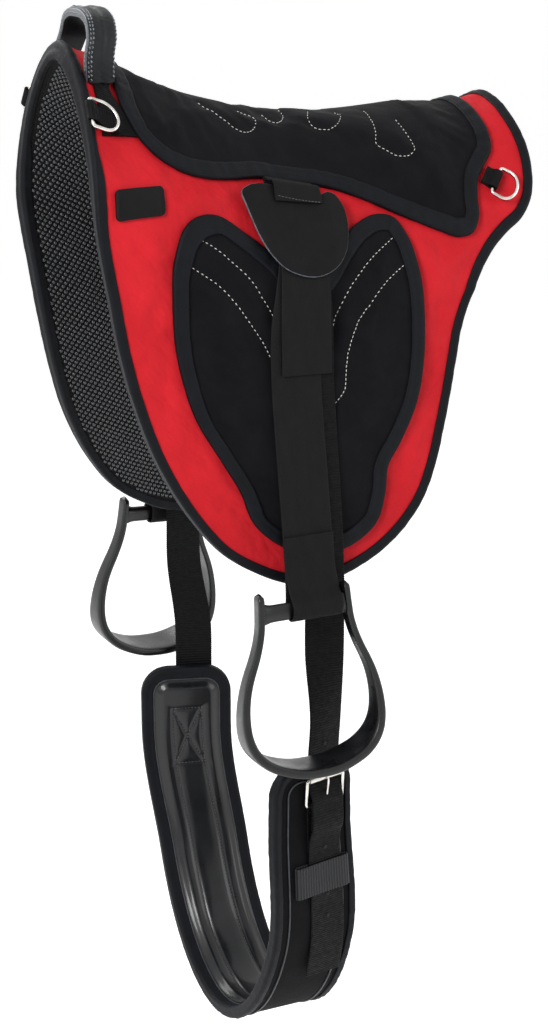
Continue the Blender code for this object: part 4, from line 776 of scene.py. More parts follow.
def ribbon_faces(count, columns, closed):
    def at(i, j, top):
        return (i % count) * columns + j + (count * columns if top else 0)

    faces = []
    for i in range(count if closed else count - 1):
        for j in range(columns - 1):
            faces.append((at(i, j, 0), at(i, j + 1, 0), at(i + 1, j + 1, 0), at(i + 1, j, 0)))
            faces.append((at(i, j, 1), at(i + 1, j, 1), at(i + 1, j + 1, 1), at(i, j + 1, 1)))
        for j in (0, columns - 1):
            faces.append((at(i, j, 0), at(i + 1, j, 0), at(i + 1, j, 1), at(i, j, 1)))
    for i in () if closed else (0, count - 1):
        faces += [(at(i, j, 0), at(i, j, 1), at(i, j + 1, 1), at(i, j + 1, 0))
                  for j in range(columns - 1)]
    return faces


def ribbon(name, rows, thickness, look, body=root, replaces=(), step=0.0015, teeth=0.0,
           closed=False, cup=0.0):
    """Flat strap between two edge lines, with rounded selvages. Rows are pairs of points."""
    fine = even(np.array(rows, float).reshape(len(rows), 6), step, closed).reshape(-1, 2, 3)
    left, right = fine[:, 0], fine[:, 1]
    middle = (left + right) / 2
    across = unit(right - left)
    normal = unit(np.cross(tangents(middle, closed), across))
    half = np.linalg.norm(right - left, axis=1) / 2
    half = half + teeth * np.where(np.arange(len(half)) % 2, 1, -1)
    count, columns = len(fine), len(selvage_shares)
    centre = (middle[:, None] + across[:, None] * (half[:, None] * selvage_shares)[..., None]
              + normal[:, None] * (cup * selvage_shares ** 2)[None, :, None])
    offset = normal[:, None] * (selvage_fullness * thickness / 2)[None, :, None]
    flat = np.stack([np.tile(half[:, None] * selvage_shares, (2, 1)).ravel(),
                     np.tile(np.repeat(length_along(middle), columns), 2)], axis=-1)
    return piece(name, np.stack([centre - offset, centre + offset]).reshape(-1, 3),
                 ribbon_faces(count, columns, closed), look, body, replaces, flat, 60)


# %% [markdown]
# An edge binding is a tape folded over the raw edge and sewn through. A curve with a bevel
# object could follow the edge. A section that is given as inset and height follows the flat
# cut instead, so the tape lies on the cloth, and it puckers slightly as sewn tape does.

# %% Edge bindings
def binding(name, outline, section, place, replaces=(), pucker=0.00035, seed=0.0,
            look="binding", width=1.0, body=root):
    """Tape folded over an edge. The section is a closed list of (inset, height)."""
    inward = turned_inwards(outline)
    section = even(section, 0.0011, True)
    along = length_along(np.vstack([outline, outline[:1]]))[:-1]
    wave = (np.sin(along * 310 + seed) * np.sin(along * 87 + 2 * seed)
            + 0.5 * np.sin(along * 530 + seed))
    middle = np.mean([height for _, height in section])
    rings = []
    for inset, height in section:
        outer_face = 1 if abs(height - middle) > 0.001 else 0
        lift = pucker * wave * np.sign(height - middle) * outer_face
        at = outline + inward * np.reshape(inset * (width if inset > 0 else 1.0), (-1, 1))
        rings.append(place(at[:, 0], at[:, 1], height + lift))
    around, count = len(rings), len(outline)
    vertices = np.stack(rings, axis=1).reshape(-1, 3)
    flat = np.stack([np.tile(section[:, 0], count), np.repeat(along, around)], axis=-1)
    return piece(name, vertices, skin(count, around, True), look, body, replaces, flat, 0)


# %% [markdown]
# Stitches, bobbles, rims and holes repeat one small shape many times. Copies made by hand
# could not be changed later. A Geometry Nodes tree puts the shape on points, turns each copy
# by two stored directions, makes the copies real and gives them their material.

# %% Repeats by Geometry Nodes
def repeat_group():
    """Instances a shape on points, turned to their along and up directions."""
    tree = bpy.data.node_groups.new("repeat on points", "GeometryNodeTree")
    for name, kind in (("Geometry", "Geometry"), ("Shape", "Object"), ("Size", "Float"),
                       ("Finish", "Material")):
        tree.interface.new_socket(name=name, in_out="INPUT", socket_type="NodeSocket" + kind)
    tree.interface.new_socket(name="Geometry", in_out="OUTPUT",
                              socket_type="NodeSocketGeometry")
    start = add(tree, "NodeGroupInput").outputs
    turn = {}
    for axis, pivot, title in (("Z", "AUTO", "up"), ("X", "Z", "along")):
        field = add(tree, "GeometryNodeInputNamedAttribute", {"Name": title},
                    data_type="FLOAT_VECTOR").outputs["Attribute"]
        turn = {"Rotation": add(tree, "FunctionNodeAlignRotationToVector",
                                {"Vector": field, **turn}, axis=axis,
                                pivot_axis=pivot).outputs["Rotation"]}
    shape = add(tree, "GeometryNodeObjectInfo", {"Object": start["Shape"]}).outputs["Geometry"]
    copies = add(tree, "GeometryNodeInstanceOnPoints", {
        "Points": start["Geometry"], "Instance": shape, "Scale": start["Size"],
        **turn}).outputs["Instances"]
    real = add(tree, "GeometryNodeRealizeInstances", {"Geometry": copies}).outputs["Geometry"]
    dressed = add(tree, "GeometryNodeSetMaterial",
                  {"Geometry": real, "Material": start["Finish"]}).outputs["Geometry"]
    add(tree, "NodeGroupOutput", {"Geometry": dressed})
    return tree


repeat_tree = repeat_group()
print("repeat tree of", len(repeat_tree.nodes), "nodes")


def repeat(name, shape, points, along, up, look, size=1.0, body=root):
    mesh = bpy.data.meshes.new(name)
    mesh.from_pydata(np.asarray(points, float).tolist(), [], [])
    for title, field in (("along", along), ("up", up)):
        mesh.attributes.new(title, "FLOAT_VECTOR", "POINT").data.foreach_set(
            "vector", np.asarray(field, np.float32).ravel())
    carrier = placed(name + " points", mesh)
    step = carrier.modifiers.new("repeat", "NODES")
    step.node_group = repeat_tree
    inputs = {"Shape": shape, "Size": float(size), "Finish": looks[look]}
    for item in repeat_tree.interface.items_tree:
        if item.in_out == "INPUT" and item.name in inputs:
            step[item.identifier] = inputs[item.name]
    shown = carrier.evaluated_get(bpy.context.evaluated_depsgraph_get())
    made_mesh = bpy.data.meshes.new_from_object(shown)
    carrier.modifiers.remove(step)
    bpy.data.objects.remove(carrier)
    made_mesh.name = name
    made_mesh.shade_smooth()
    while made_mesh.materials[0] is None:
        made_mesh.materials.pop(index=0)
    print(name, len(points), "copies in", made_mesh.materials[0].name)
    return dress(placed(name, made_mesh), look, body)


# %% [markdown]
# What repeats hundreds of times must be light. A dome or bead of a few rings has only some
# dozen faces, and that is enough at its size. A stitch is a bead that is stretched along the
# seam, and each one is dropped onto the cloth by a ray.

# %% Small shapes and stitches
def unit_shape(name, rings, around, stretch=1.0):
    """Small dome or bead, from (radius, height) rings in metres, to be repeated."""
    turn = 2 * pi * np.arange(around) / around
    vertices = [(radius * cos(a) * stretch, radius * sin(a), height)
                for radius, height in rings for a in turn]
    mesh = bpy.data.meshes.new(name)
    mesh.from_pydata(vertices, [], skin(len(rings), around))
    mesh.shade_smooth()
    return placed(name, mesh)


stitch_shape = unit_shape("stitch shape", [(0.0002, -0.0002), (0.00036, 0.0001),
                                           (0.00036, 0.0003), (0.0002, 0.00045)], 8, 3.6)
ray_start, ray_reach, stitch_lift = 0.06, 0.1, 0.0001


def tree_of(made):
    return BVHTree.FromPolygons([v.co for v in made.data.vertices],
                                [tuple(p.vertices) for p in made.data.polygons])


def stitches(name, lines, tree, place, look="thread", pitch=0.0041, body=root):
    """Dashes along flat lines, laid on the surface that the tree holds."""
    points, along, up = [], [], []
    for line in lines:
        fine = even(line, pitch)
        spots = place(fine[:, 0], fine[:, 1], ray_start)
        floor = place(fine[:, 0], fine[:, 1], 0.0)
        for spot, base, ahead in zip(spots, floor, tangents(floor)):
            hit = tree.ray_cast(Vector(spot), Vector(base - spot).normalized(), ray_reach)
            if hit[0] is None:
                continue
            points.append(hit[0] + hit[1] * stitch_lift)
            along.append(Vector(ahead))
            up.append(hit[1])
    return repeat(name, stitch_shape, points, along, up, look, body=body)


# %% [markdown]
# The pad is a sandwich: red nylon above, foam inside, and a lining below that has rubbery
# bobbles to keep it from slipping. One closed slab for each layer is made from the same cut.
# The nylon gets a cloth run with soft puckers between the pads that are sewn to it.

# %% Red cover of the pad
pad_top, cover_foot, pucker_height = 0.0136, 0.0022, 0.0014
cover_pressure, cover_slack, cover_dip, cover_rise = 1.1, 0.014, -0.0008, 0.0028
seam_free, seam_fade = 0.013, 0.012


def flap(side):
    """The flat cut's run on one side of the horse."""
    def place(x, run, height):
        return on_back(x, side * np.asarray(run), height)
    return place


def outside_box(x, run, x0, x1, run0, run1, fade=0.008):
    """1 away from a rectangle of the flat cut, 0 on it."""
    away = np.hypot(np.maximum(np.maximum(x0 - x, x - x1), 0),
                    np.maximum(np.maximum(run0 - run, run - run1), 0))
    return ease(away / fade)


# Rectangles under other layers, where the cover can't rise: tab, strap, webs, rings and patch.
covered = ((-0.095, 0.022, 0.088, 0.172), (-0.078, -0.004, 0.088, 0.45),
           (-0.215, -0.172, 0.040, 0.128), (0.150, 0.195, 0.085, 0.118),
           (-0.210, -0.158, 0.140, 0.174))
cut = Cut(pad_outline, 0.0055)
x, run = cut.flat.T
down = np.abs(run)
free = ease((cut.inset - seam_free) / seam_fade)
for outline, where in ((seat_outline, cut.flat), (knee_outline, np.stack([x, down], axis=-1))):
    beside = ease((distance_to(where, outline, True) - 0.004) / 0.010)
    free = free * np.where(is_inside(where, outline), 0, beside)
for box in covered:
    free = free * outside_box(x, down, *box)
upper = sewn(cut, on_back(x, run, pad_top), free, cover_pressure, cover_slack, cover_dip,
             cover_rise)
pucker = (np.sin(run * 96 + 2.1 * np.sin(x * 57)) * np.sin(x * 83 + 1.6 * np.sin(run * 41))
          + 0.6 * np.sin(x * 168 + run * 121 + 1.9) * np.sin(run * 143 - x * 52))
upper = upper + back_normal(x, run) * (pucker_height * free * pucker)[:, None]
cover = cloth_piece("red_cover", cut, cover_foot, None, on_back, "red_nylon", upper=upper,
                    replaces=("outer_cover", "foam_core"))

# %% [markdown]
# The lining is a loose mesh that sags a little between its seams. Bump alone would leave a
# smooth outline, so the sag and every bobble are real geometry. The bobbles stand in offset
# rows on the same formula, so they follow the folds.

# %% Lining and its bobbles
sag_depth, lining_top, bobble_pitch, bobble_row = 0.0034, 0.0021, 0.0047, 0.0043


def lining_sag(x, run):
    """How far the loose lining hangs below the pad, in soft folds."""
    folds = np.sin(run * 48 + 2.6 * np.sin(x * 17)) * np.sin(x * 31 + run * 9 + 0.7)
    inset = distance_to(np.stack([x, run], -1), pad_outline, True)
    return sag_depth * (0.5 + 0.5 * folds) * ease((inset - 0.012) / 0.02)


cut = Cut(pad_outline, 0.0085)
lining = cloth_piece("lining", cut, -lining_sag(*cut.flat.T), lining_top, on_back, "mesh",
                     replaces=("mesh_lining",))
bobble_shape = unit_shape("bobble shape", [(0.0021, -0.0003), (0.0019, 0.0008),
                                           (0.0010, 0.0015)], 5, 1.12)
grid = np.array([(x + (bobble_pitch / 2 if k % 2 else 0), run)
                 for k, run in enumerate(np.arange(0.002, pad_drop, bobble_row))
                 for x in np.arange(-0.225, 0.222, bobble_pitch)])
grid = grid[is_inside(grid, pad_outline) & (distance_to(grid, pad_outline, True) > 0.0092)]
for side_name, side in sides:
    x, run = grid[:, 0], side * grid[:, 1]
    repeat(side_name + "_bobbles", bobble_shape, on_back(x, run, -lining_sag(x, run)),
           unit(slopes(x, run)[0]), -back_normal(x, run), "dots")

# %% [markdown]
# A broad tape closes the sandwich all round. Its section wraps over both faces. At the front
# it is narrower, as the pad curves up there.

# %% Binding of the pad
front_lip = ease((-pad_outline[:, 0] / half_length - 0.90) / 0.06)
front_lip = front_lip * (1 - ease((np.abs(pad_outline[:, 1]) - 0.125) / 0.03))
b = 0.0072  # how far the tape reaches over each face
section = [(b, -0.0002), (b, -0.0012), (b / 2, -0.0018), (0, -0.0022), (-0.0018, -0.0008),
           (-0.0026, pad_top / 2), (-0.0018, pad_top + 0.0010), (0, pad_top + 0.0021),
           (b / 2, pad_top + 0.0019), (b, pad_top + 0.0010), (b, pad_top + 0.0001),
           (b / 2, pad_top + 0.0003), (0, pad_top + 0.0001), (-0.0010, pad_top / 2),
           (0, -0.0002), (b / 2, -0.0003)]
binding("pad_binding", pad_outline, section, on_back, ("edge_binding",),
        width=1 - 0.55 * front_lip)

# %% [markdown]
# The seat and the knee pads are suede cushions over gel and foam. Each is higher in the middle
# and drops to a flat rim, where its tape is sewn. The stitched lines press shallow grooves into
# the suede: the groove is geometry, and each stitch is a small dash that is repeated.

# %% How a cushion is made
lay_height, binding_width, cushion_rim = 0.0146, 0.0120, 0.0031
cushion_pressure, cushion_slack, cushion_dip, cushion_rise = 1.4, 0.012, -0.0004, 0.0026
crown_run, groove_half = 0.050, 0.0042
b, base = binding_width, lay_height
rim = lay_height + cushion_rim
rim_section = [(-0.0006, base - 0.0008), (-0.0018, base - 0.0002), (-0.0024, base + 0.0022),
               (-0.0012, rim + 0.0013), (0.0020, rim + 0.0021), (b / 2, rim + 0.0021),
               (b, rim + 0.0012), (b, rim + 0.0001), (b / 2, rim + 0.0003), (0, rim + 0.0001),
               (-0.0004, base + 0.0012)]


def cushion(name, side, outline, crown, lines, groove, flip, replaced, keep=None):
    """Crowned suede cushion with a groove along each line. Returns its tree, for the stitches."""
    place = flap(side)
    cut = Cut(outline, 0.0042)
    x, run = cut.flat.T
    rise = crown(x) * ease((cut.inset - binding_width) / crown_run)
    free = ease((cut.inset - binding_width - 0.001) / 0.016)
    if keep is not None:
        free = free * keep(x, run)
    moved = sewn(cut, place(x, run, rim + rise), free, cushion_pressure, cushion_slack,
                 cushion_dip, cushion_rise, flip)
    near_line = np.min([distance_to(cut.flat, line) for line in lines], axis=0)
    depth = groove * np.exp(-(near_line / groove_half) ** 2) * ease(rise / groove)
    moved = moved - back_normal(x, side * run) * depth[:, None]
    made = cloth_piece(name, cut, lay_height - 0.0008, None, place, "suede", upper=moved,
                       replaces=replaced)
    return tree_of(made)


# %% [markdown]
# The seat cushion covers both sides of the spine and is padded with gel. It is flat towards
# the pommel and full behind, where the rider sits, so its crown grows along x.

# %% Seat
seat_crown, crown_start, crown_length = 0.0085, -0.165, 0.120


def seat_fullness(x):
    return seat_crown * (0.12 + 0.88 * ease((x - crown_start) / crown_length))


seat_curves = [even([(x / 1000, side * run / 1000) for x, run in line], 0.002)
               for line in seat_stitch_mm for side in (1, -1)]
seat_tree = cushion("seat", 1, seat_outline, seat_fullness, seat_curves, 0.0012, False,
                    ("seat_cover", "seat_gel_core"))
binding("seat_edge", seat_outline, rim_section, on_back, ("seat_binding",), seed=1.7)
stitches("seat_stitches", seat_curves, seat_tree, on_back)

# %% [markdown]
# A knee pad on each flank steadies the rider's knee. It is cut from foam and suede as the seat
# is. The strap and the billet press it flat where they cross it, so the cloth run holds it
# there.

# %% Knee pads
knee_crown, knee_groove = 0.0070, 0.0020
knee_curves = [even([(x / 1000, run / 1000) for x, run in line], 0.002)
               for line in knee_stitch_mm]


def knee_fullness(x):
    return np.full(len(x), knee_crown)


def off_straps(x, run):
    return outside_box(x, run, -0.078, -0.004, 0.088, 0.45, 0.010)


for side_name, side in sides:
    tree = cushion(side_name + "_knee_pad", side, knee_outline, knee_fullness, knee_curves,
                   knee_groove, side < 0, (side_name + "_knee_cover", side_name + "_knee_foam"),
                   off_straps)
    binding(side_name + "_knee_edge", knee_outline, rim_section, flap(side),
            (side_name + "_knee_binding",), seed=2.4 + side)
    stitches(side_name + "_knee_stitches", knee_curves, tree, flap(side))

# %% [markdown]
# A small rubber patch is glued to the near flank, and it is bare. A scaled cube would have
# hard edges and lie flat. A slab of a rounded cut follows the flank, and its edge falls away.

# %% Rubber patch
patch_x, patch_run, patch_corner = -0.184, 0.1565, 0.004
patch_half_x, patch_half_run = 0.018, 0.007
corners = []
for across, drop, start in ((-1, -1, 180), (1, -1, 270), (1, 1, 0), (-1, 1, 90)):
    centre = (patch_x + across * patch_half_x, patch_run + drop * patch_half_run)
    corners += arc(centre, patch_corner, start, start + 90, 7)
corners = dense(corners, 0.0012)
corners[:, 1] += level_slope(patch_x, patch_run) * (corners[:, 0] - patch_x)
cut = Cut(corners, 0.0012)
patch_face = lay_height + 0.0016 - 0.0007 * ease((cut.inset - 0.0010) / 0.0008)
cloth_piece("rubber_patch", cut, lay_height - 0.0012, patch_face, flap(-1), "rubber",
            replaces=("near_rubber_patch",))

# %% [markdown]
# The grab handle is a padded strap that arches over the pommel, with a ribbed and perforated
# grip. A bevelled curve would be plain. A section with ribs is swept along the arch, which lets
# each rib rise from the strap.

# %% Path of the handle
webbing_thickness, strap_gap = 0.0018, 0.0004
handle_x, handle_lean, handle_thickness, handle_foot_run = -0.2030, 0.0225, 0.0075, 0.050
handle_half_span, handle_height, foot_length = 0.0585, 0.0508, 0.011
foot = lay_height + webbing_thickness + strap_gap
base = on_back(handle_x, handle_foot_run, foot)[2]
arch = np.array([(y * handle_half_span, base + z * handle_height, lean * handle_lean)
                 for y, z, lean in handle_shares])
ahead = tangents(arch[:, :2])
out = np.stack([-ahead[:, 1], ahead[:, 0]], axis=-1) * handle_thickness / 2


def handle_foot(side):
    return np.concatenate([on_back(handle_x, side * run, foot)
                           for run in (handle_foot_run, handle_foot_run + foot_length)])


rows = [handle_foot(-1)]
for (y, z, lean), (oy, oz) in zip(arch, out):
    rows.append(np.array([handle_x + lean, y - oy, z - oz, handle_x + lean, y + oy, z + oz]))
rows = even(rows + [handle_foot(1)], 0.0022)
inner, outer = rows[:, :3], rows[:, 3:]
middle = (inner + outer) / 2

# %% Ribbed grip
handle_width, rib_height, crinkle_height = 0.0265, 0.0019, 0.0003
shares = np.sin(np.linspace(-1, 1, 25) * pi / 2)
fullness = (1 - np.abs(shares) ** 5) ** 0.45 * 0.93 + 0.07
ridges = rib_height * np.abs(np.sin(shares * pi * 0.97)) ** 0.8
half = handle_width / 2
count, columns = len(rows), len(shares)
sideways = np.zeros((1, columns, 3))
sideways[0, :, 0] = shares * half
crinkle = crinkle_height * np.sin(np.arange(count) * 1.9)[:, None] * np.cos(shares * 9)[None]
lower, upper = (middle[:, None] + (face - middle)[:, None] * fullness[None, :, None] + sideways
                for face in (inner, outer))
upper = upper + unit(outer - inner)[:, None] * (ridges[None] + crinkle)[..., None]
ring = np.concatenate([lower, upper[:, ::-1]], axis=1)
handle = piece("handle", ring.reshape(-1, 3), skin(count, 2 * columns), "grip",
               replaces=("grab_handle",), sharp=0)
# The facing strip along the grip's front is grey: painted sheen where that edge catches the light.
front = np.array([-half - 0.0003, 0, 0])
facing_rows = np.stack([middle + (inner - middle) * 0.86 + front,
                        middle + (outer - middle) * 1.02 + front], axis=1)
ribbon("handle_facing", facing_rows[::3], 0.0009, "facing", cup=0.0006)

# %% [markdown]
# The grip is punched with rows of small holes whose rims shine. Cutting hundreds of holes
# would be heavy. A small pale ring, a painted glint, and a dark disc, painted shade in the hole,
# on each spot look the same.

# %% Perforations of the grip
hole_shape = unit_shape("hole shape", [(0.0010, -0.0002), (0.0010, 0.00012),
                                       (0.0006, 0.0002)], 10)
rim_shape = unit_shape("rim shape", [(0.0010, -0.0003), (0.0011, 0.0001),
                                     (0.0008, 0.00035)], 8)
hole_pitch_across, hole_pitch_front, disc_lift, disc_size = 0.0021, 0.0042, 0.0003, 0.62
spots, along, up = [], [], []
along_middle = tangents(middle)
for column, shift in ((2, 0.0), (4, 0.5), (6, 0.0), (20, 0.5), (22, 0.0)):
    line = even(upper[:, column], hole_pitch_across)[2 + int(2 * shift):-2:2]
    spots += list(line)
    along += list(tangents(line))
    lift = upper[:, column] - middle
    lift = lift - along_middle * np.sum(lift * along_middle, axis=1)[:, None]
    lift = even(lift, 0.0001)
    up += list(unit(lift[np.linspace(0, len(lift) - 1, len(line)).astype(int)]))
line = even(middle + front + [-0.0004, 0, 0], hole_pitch_front)[2:-2]
spots, along = spots + list(line), along + list(tangents(line))
up += [(-1.0, 0, 0)] * len(line)
# Pale rims as painted glints, and dark discs as painted shade inside the holes.
repeat("grip_rims", rim_shape, spots, along, up, "glint")
repeat("grip_holes", hole_shape, np.array(spots) + disc_lift * np.array(up), along, up,
       "punched", size=disc_size)

# %% [markdown]
# Under each foot of the handle, a web of ribbed cloth is sewn down over the pommel. It fills
# the corner between the seat's edge and the front ring. A ribbon has parallel edges, so it is
# cut to shape as a thin slab instead: one edge follows the seat's outline.

# %% Webs under the handle's feet
pommel_web_front, pommel_web_top, pommel_web_bottom = -0.2115, 0.043, 0.116
seat_front = [(share * seat_drop, x * half_length) for x, share in seat_shares[:5]]
runs = np.linspace(pommel_web_top, pommel_web_bottom - 0.015, 6)
web = [(pommel_web_front, pommel_web_bottom)]
web += [(pommel_web_front + 0.0012, run) for run in runs[::-1]]
by_seat = [(min(float(np.interp(run, *zip(*seat_front))) - 0.0090
                + 0.0050 * float(ease((run - 0.066) / 0.015)), -0.1775), run) for run in runs]
web = by_seat + web
for side_name, side in sides:
    cloth_piece(side_name + "_web", Cut(dense(web, 0.003), 0.003), lay_height - 0.0010,
                lay_height + webbing_thickness, flap(side), "webbing",
                replaces=(side_name + "_pommel_webbing",))

# %% [markdown]
# Four D-shaped rings take ties. Each is bent wire, held by a folded loop of webbing, called a
# chape. The loop is bent round the wire with a small gap, so the ring can lift, and a torus
# squeezed into shape would not have the straight bar that the webbing needs.

# %% Tie rings in their chapes
ring_wire, ring_width, ring_depth, ring_bar_gap, ring_lean = 0.0032, 0.028, 0.0245, 0.0007, 0.16
chape_half, chape_front, rear_ring_seat = 0.0164 / 2, 0.0075, 0.0010 / 3
front_ring_x, front_ring_run, rear_ring_x, rear_ring_run = (
    -0.2215, 0.1015, half_length * 0.7955, 0.1085)


def tie_ring(name, side, x0, run0, turn_degrees, chape_low, tail, sense):
    turn = radians(turn_degrees)
    band, wire = webbing_thickness, ring_wire / 2
    bar = chape_low + band + ring_bar_gap + wire
    loop = wire + ring_bar_gap + band / 2

    def place(a, across, height):
        run = side * (run0 + a * sin(turn) + across * cos(turn))
        return on_back(x0 + a * cos(turn) - across * sin(turn), run, height)

    low, high = bar - loop, bar - loop + band + strap_gap
    path = [(tail, low), (chape_front, low)] + arc((0, bar), loop, 270, 60, 9)
    path += [(chape_front, high), (tail, high)]
    rows = [[place(sense * a, across, h) for across in (-chape_half, chape_half)]
            for a, h in path]
    ribbon(name + "_webbing", rows, band, "webbing", replaces=(name + "_chape",), step=0.0010,
           teeth=0.0001)
    half = ring_width / 2 - wire
    corner = half * 0.185
    reach = ring_depth - 2 * wire
    line = arc((corner, -half + corner), corner, 180, 270, 6)
    line += arc((reach - half, 0), half, -90, 90, 19)
    line += arc((corner, half - corner), corner, 90, 180, 6)
    points = dense([place(a, c, bar + ring_lean * a) for a, c in line], 0.0012)
    tube(name + "_wire", points, wire, "nickel", 16, True, name, (name,))


for side_name, side in sides:
    tie_ring(side_name + "_front_ring", side, front_ring_x, front_ring_run, 0, foot, 0.024, 1)
    tie_ring(side_name + "_rear_ring", side, rear_ring_x, rear_ring_run, 45,
             lay_height - rear_ring_seat, 0.0125, -1)

# %% [markdown]
# Straps lie over each other like shingles. If each had a guessed height, they would cut
# through each other. So every strap's path is worked out first as (run, height), from the
# layers below it, and the pieces are laid along these lines later.

# %% Heights at which the straps cross the pad
tape, lip_gap, loop_wire, strap_thickness = 0.0012, 0.0009, 0.0044, 0.0020
seat_exit_run, loop_run, loop_height, strap_settle_run = 0.0908, 0.118, 0.018, 0.205
bar_run, billet_hang, bar_loop_radius, strap_stand_off = 0.4545, 0.500, 0.0093, 0.0080
knee_face = lay_height + cushion_rim + knee_crown
billet_half, strap_half, loop_half = webbing_thickness / 2, strap_thickness / 2, loop_wire / 2
strap_pitch = strap_thickness + strap_gap
loop_middle = lay_height + webbing_thickness + strap_gap + strap_pitch + loop_half
carrier_top = loop_middle + loop_half + strap_gap + strap_thickness
billet_low, billet_high = lay_height + billet_half, knee_face + strap_gap + billet_half
notch_run = knee_top + 0.178 * knee_drop
climb_start = loop_run + loop_height + loop_wire
climb_end = notch_run - binding_width - strap_gap - tape * 3
over_rim = rim + lip_gap + tape + strap_gap + billet_half
flap_runs = np.linspace(strap_settle_run, bar_run - bar_loop_radius, 6)

billet_line = [(run, billet_low) for run in np.linspace(seat_exit_run, loop_run, 3)]
billet_line += [((loop_run + climb_start) / 2, billet_low), (climb_start, billet_low),
                (climb_end, over_rim), (notch_run, over_rim + strap_gap)]
billet_line += [(run, billet_high) for run in flap_runs]
billet_line += [(bar_run, billet_high), (billet_hang, billet_high)]

step = billet_half + strap_gap + strap_half
fall = flap_runs[-1] - flap_runs[0]
leg_line = [(climb_start, loop_middle - loop_half - strap_gap - strap_half),
            (climb_end, over_rim + step), (notch_run, over_rim + step + strap_gap)]
leg_line += [(run, billet_high + step + strap_stand_off * ((run - flap_runs[0]) / fall) ** 2)
             for run in flap_runs]
tail_line = [(climb_start, loop_middle + loop_half + strap_gap + strap_half)]
tail_line += [(run, height + strap_pitch) for run, height in leg_line[1:3]]
tail_line += [(strap_settle_run, billet_high + step + strap_pitch)]
print("billet", round(1000 * billet_high, 1), "mm and strap",
      round(1000 * leg_line[-1][1], 1), "mm above the horse's back at the flap's end")


# %% [markdown]
# On the flank a strap lies across the slope, and lower down it hangs plumb. A strap that kept
# the flat cut's direction would hang askew, so each row is turned towards level on its way.

# %% Rows of a strap
plumb_run, tab_drop = 0.438, 0.063


def strap_rows(path, centre, width, side, roll=0.0):
    across = np.array([-width / 2, width / 2])
    rows = []
    for (run, height), x0 in zip(path, centre):
        on_flap = min(run, plumb_run)
        level = level_slope(x0, on_flap) * ease((on_flap - seat_exit_run) / tab_drop)
        level = level - roll * ease((on_flap - strap_settle_run) / arch_run)
        row = on_back(x0 + across, side * (on_flap + level * across), height)
        row[:, 2] -= run - on_flap
        rows.append(row)
    return np.array(rows)


def leg_at(run):
    return float(np.interp(run, *zip(*leg_line)))


# %% [markdown]
# The stirrup is one nylon moulding: two arms, a wide tread and a crossbar. Its section changes
# from a slim arm to a broad tread, which a plain sweep cannot do, so rings of a rounded section
# are set along the outline and joined. The section is a squared circle, as a mould's parting
# line and draft leave it.

# %% Rings of the stirrup
strap_width, strap_x_by_side = 0.047, {-1: -0.0490, 1: -0.0375}
bar_half_height, bar_half_depth, stirrup_lead, stirrup_roll_share = 0.0080, 0.0045, -0.0110, 0.045
stirrup_half_width, stirrup_height, stirrup_top, stirrup_tilt = 0.0690, 0.174, 0.020, radians(4.3)
stirrup_wall, tread_wall, post_depth, tread_depth = 0.0066, 0.0100, 0.0150, 0.0460
around, squareness, end_round, tread_hollow = 28, 0.42, 0.006, 0.0007
turn = 2 * pi * (np.arange(around) + 0.5) / around
ring_a, ring_c = (np.sign(wave) * np.abs(wave) ** squareness
                  for wave in (np.cos(turn), np.sin(turn)))
hollow = tread_hollow * np.clip(ring_a, 0, 1) * (1 - np.abs(ring_c) ** 3)
bar_drop = bar_loop_radius - bar_half_height - 0.0005


def stirrup_arms():
    """Rings of the arms and the tread, in the stirrup's own frame."""
    half = [(x * stirrup_half_width, stirrup_top - z * stirrup_height)
            for x, z in stirrup_shares]
    fine = even(half + [(-x, z) for x, z in half[-2::-1]], 0.0032)
    ahead = tangents(fine)
    low = (stirrup_top - fine[:, 1]) / stirrup_height
    wall = stirrup_wall + (tread_wall - stirrup_wall) * ease(low) ** 2
    depth = post_depth + (tread_depth - post_depth) * np.clip(low, 0, 1) ** 3
    steps = length_along(fine)
    to_end = np.clip(np.minimum(steps, steps[-1] - steps) / end_round, 0, 1)
    shrink = np.sqrt(np.clip(1 - (1 - to_end) ** 2, 0.0, 1)) * 0.8 + 0.2
    rings = []
    for point, normal, w, d, s in zip(fine, np.stack([ahead[:, 1], -ahead[:, 0]], axis=-1),
                                      wall, depth, shrink):
        spots = point + normal * (w / 2 + ring_a * w / 2 * s - hollow)[:, None]
        rings.append(np.stack([spots[:, 0], ring_c * d / 2 * s, spots[:, 1]], axis=-1))
    return np.array(rings)


def stirrup_bar():
    rings = []
    for x in np.linspace(-0.62, 0.62, 25) * stirrup_half_width:
        flare = 1 + 0.25 * ease((abs(x) - 0.030) / 0.010)
        rings.append(np.stack([np.full(around, x), bar_half_depth * flare * np.sin(turn),
                               bar_half_height * flare * np.cos(turn)], axis=-1))
    return np.array(rings)


# %% A stirrup on its strap
def stirrup(side_name, side):
    height = leg_line[-1][1] + strap_half + bar_loop_radius
    ends = strap_rows([(bar_run, height)], [strap_x_by_side[side]], strap_width, side,
                      -side * stirrup_roll_share)[0]
    along = Vector(ends[1] - ends[0]).normalized()
    out = Vector((0, 0, 1)).cross(along).normalized()
    stand = Matrix((along, out, along.cross(out))).transposed().to_4x4()
    stand = Matrix.Translation((ends[0] + ends[1]) / 2) @ stand
    stand = stand @ Matrix.Rotation(stirrup_tilt * side, 4, "X")
    arms, bar = stirrup_arms(), stirrup_bar()
    faces = skin(len(arms), around) + skin(len(bar), around, start=len(arms) * around)
    rings = np.concatenate([arms, bar]).reshape(-1, 3) + [stirrup_lead, 0, -bar_drop]
    piece(side_name + "_stirrup_moulding", [stand @ Vector(p) for p in rings], faces,
          "stirrup_plastic", side_name + "_stirrup", (side_name + "_stirrup",), sharp=55)


# %% [markdown]
# Each stirrup strap hangs from a metal loop, which a short webbing loop holds to the pad. The
# wire could be a bent curve. Here its corners are placed on the strap's own rows, so that it
# lies square to the webbing.

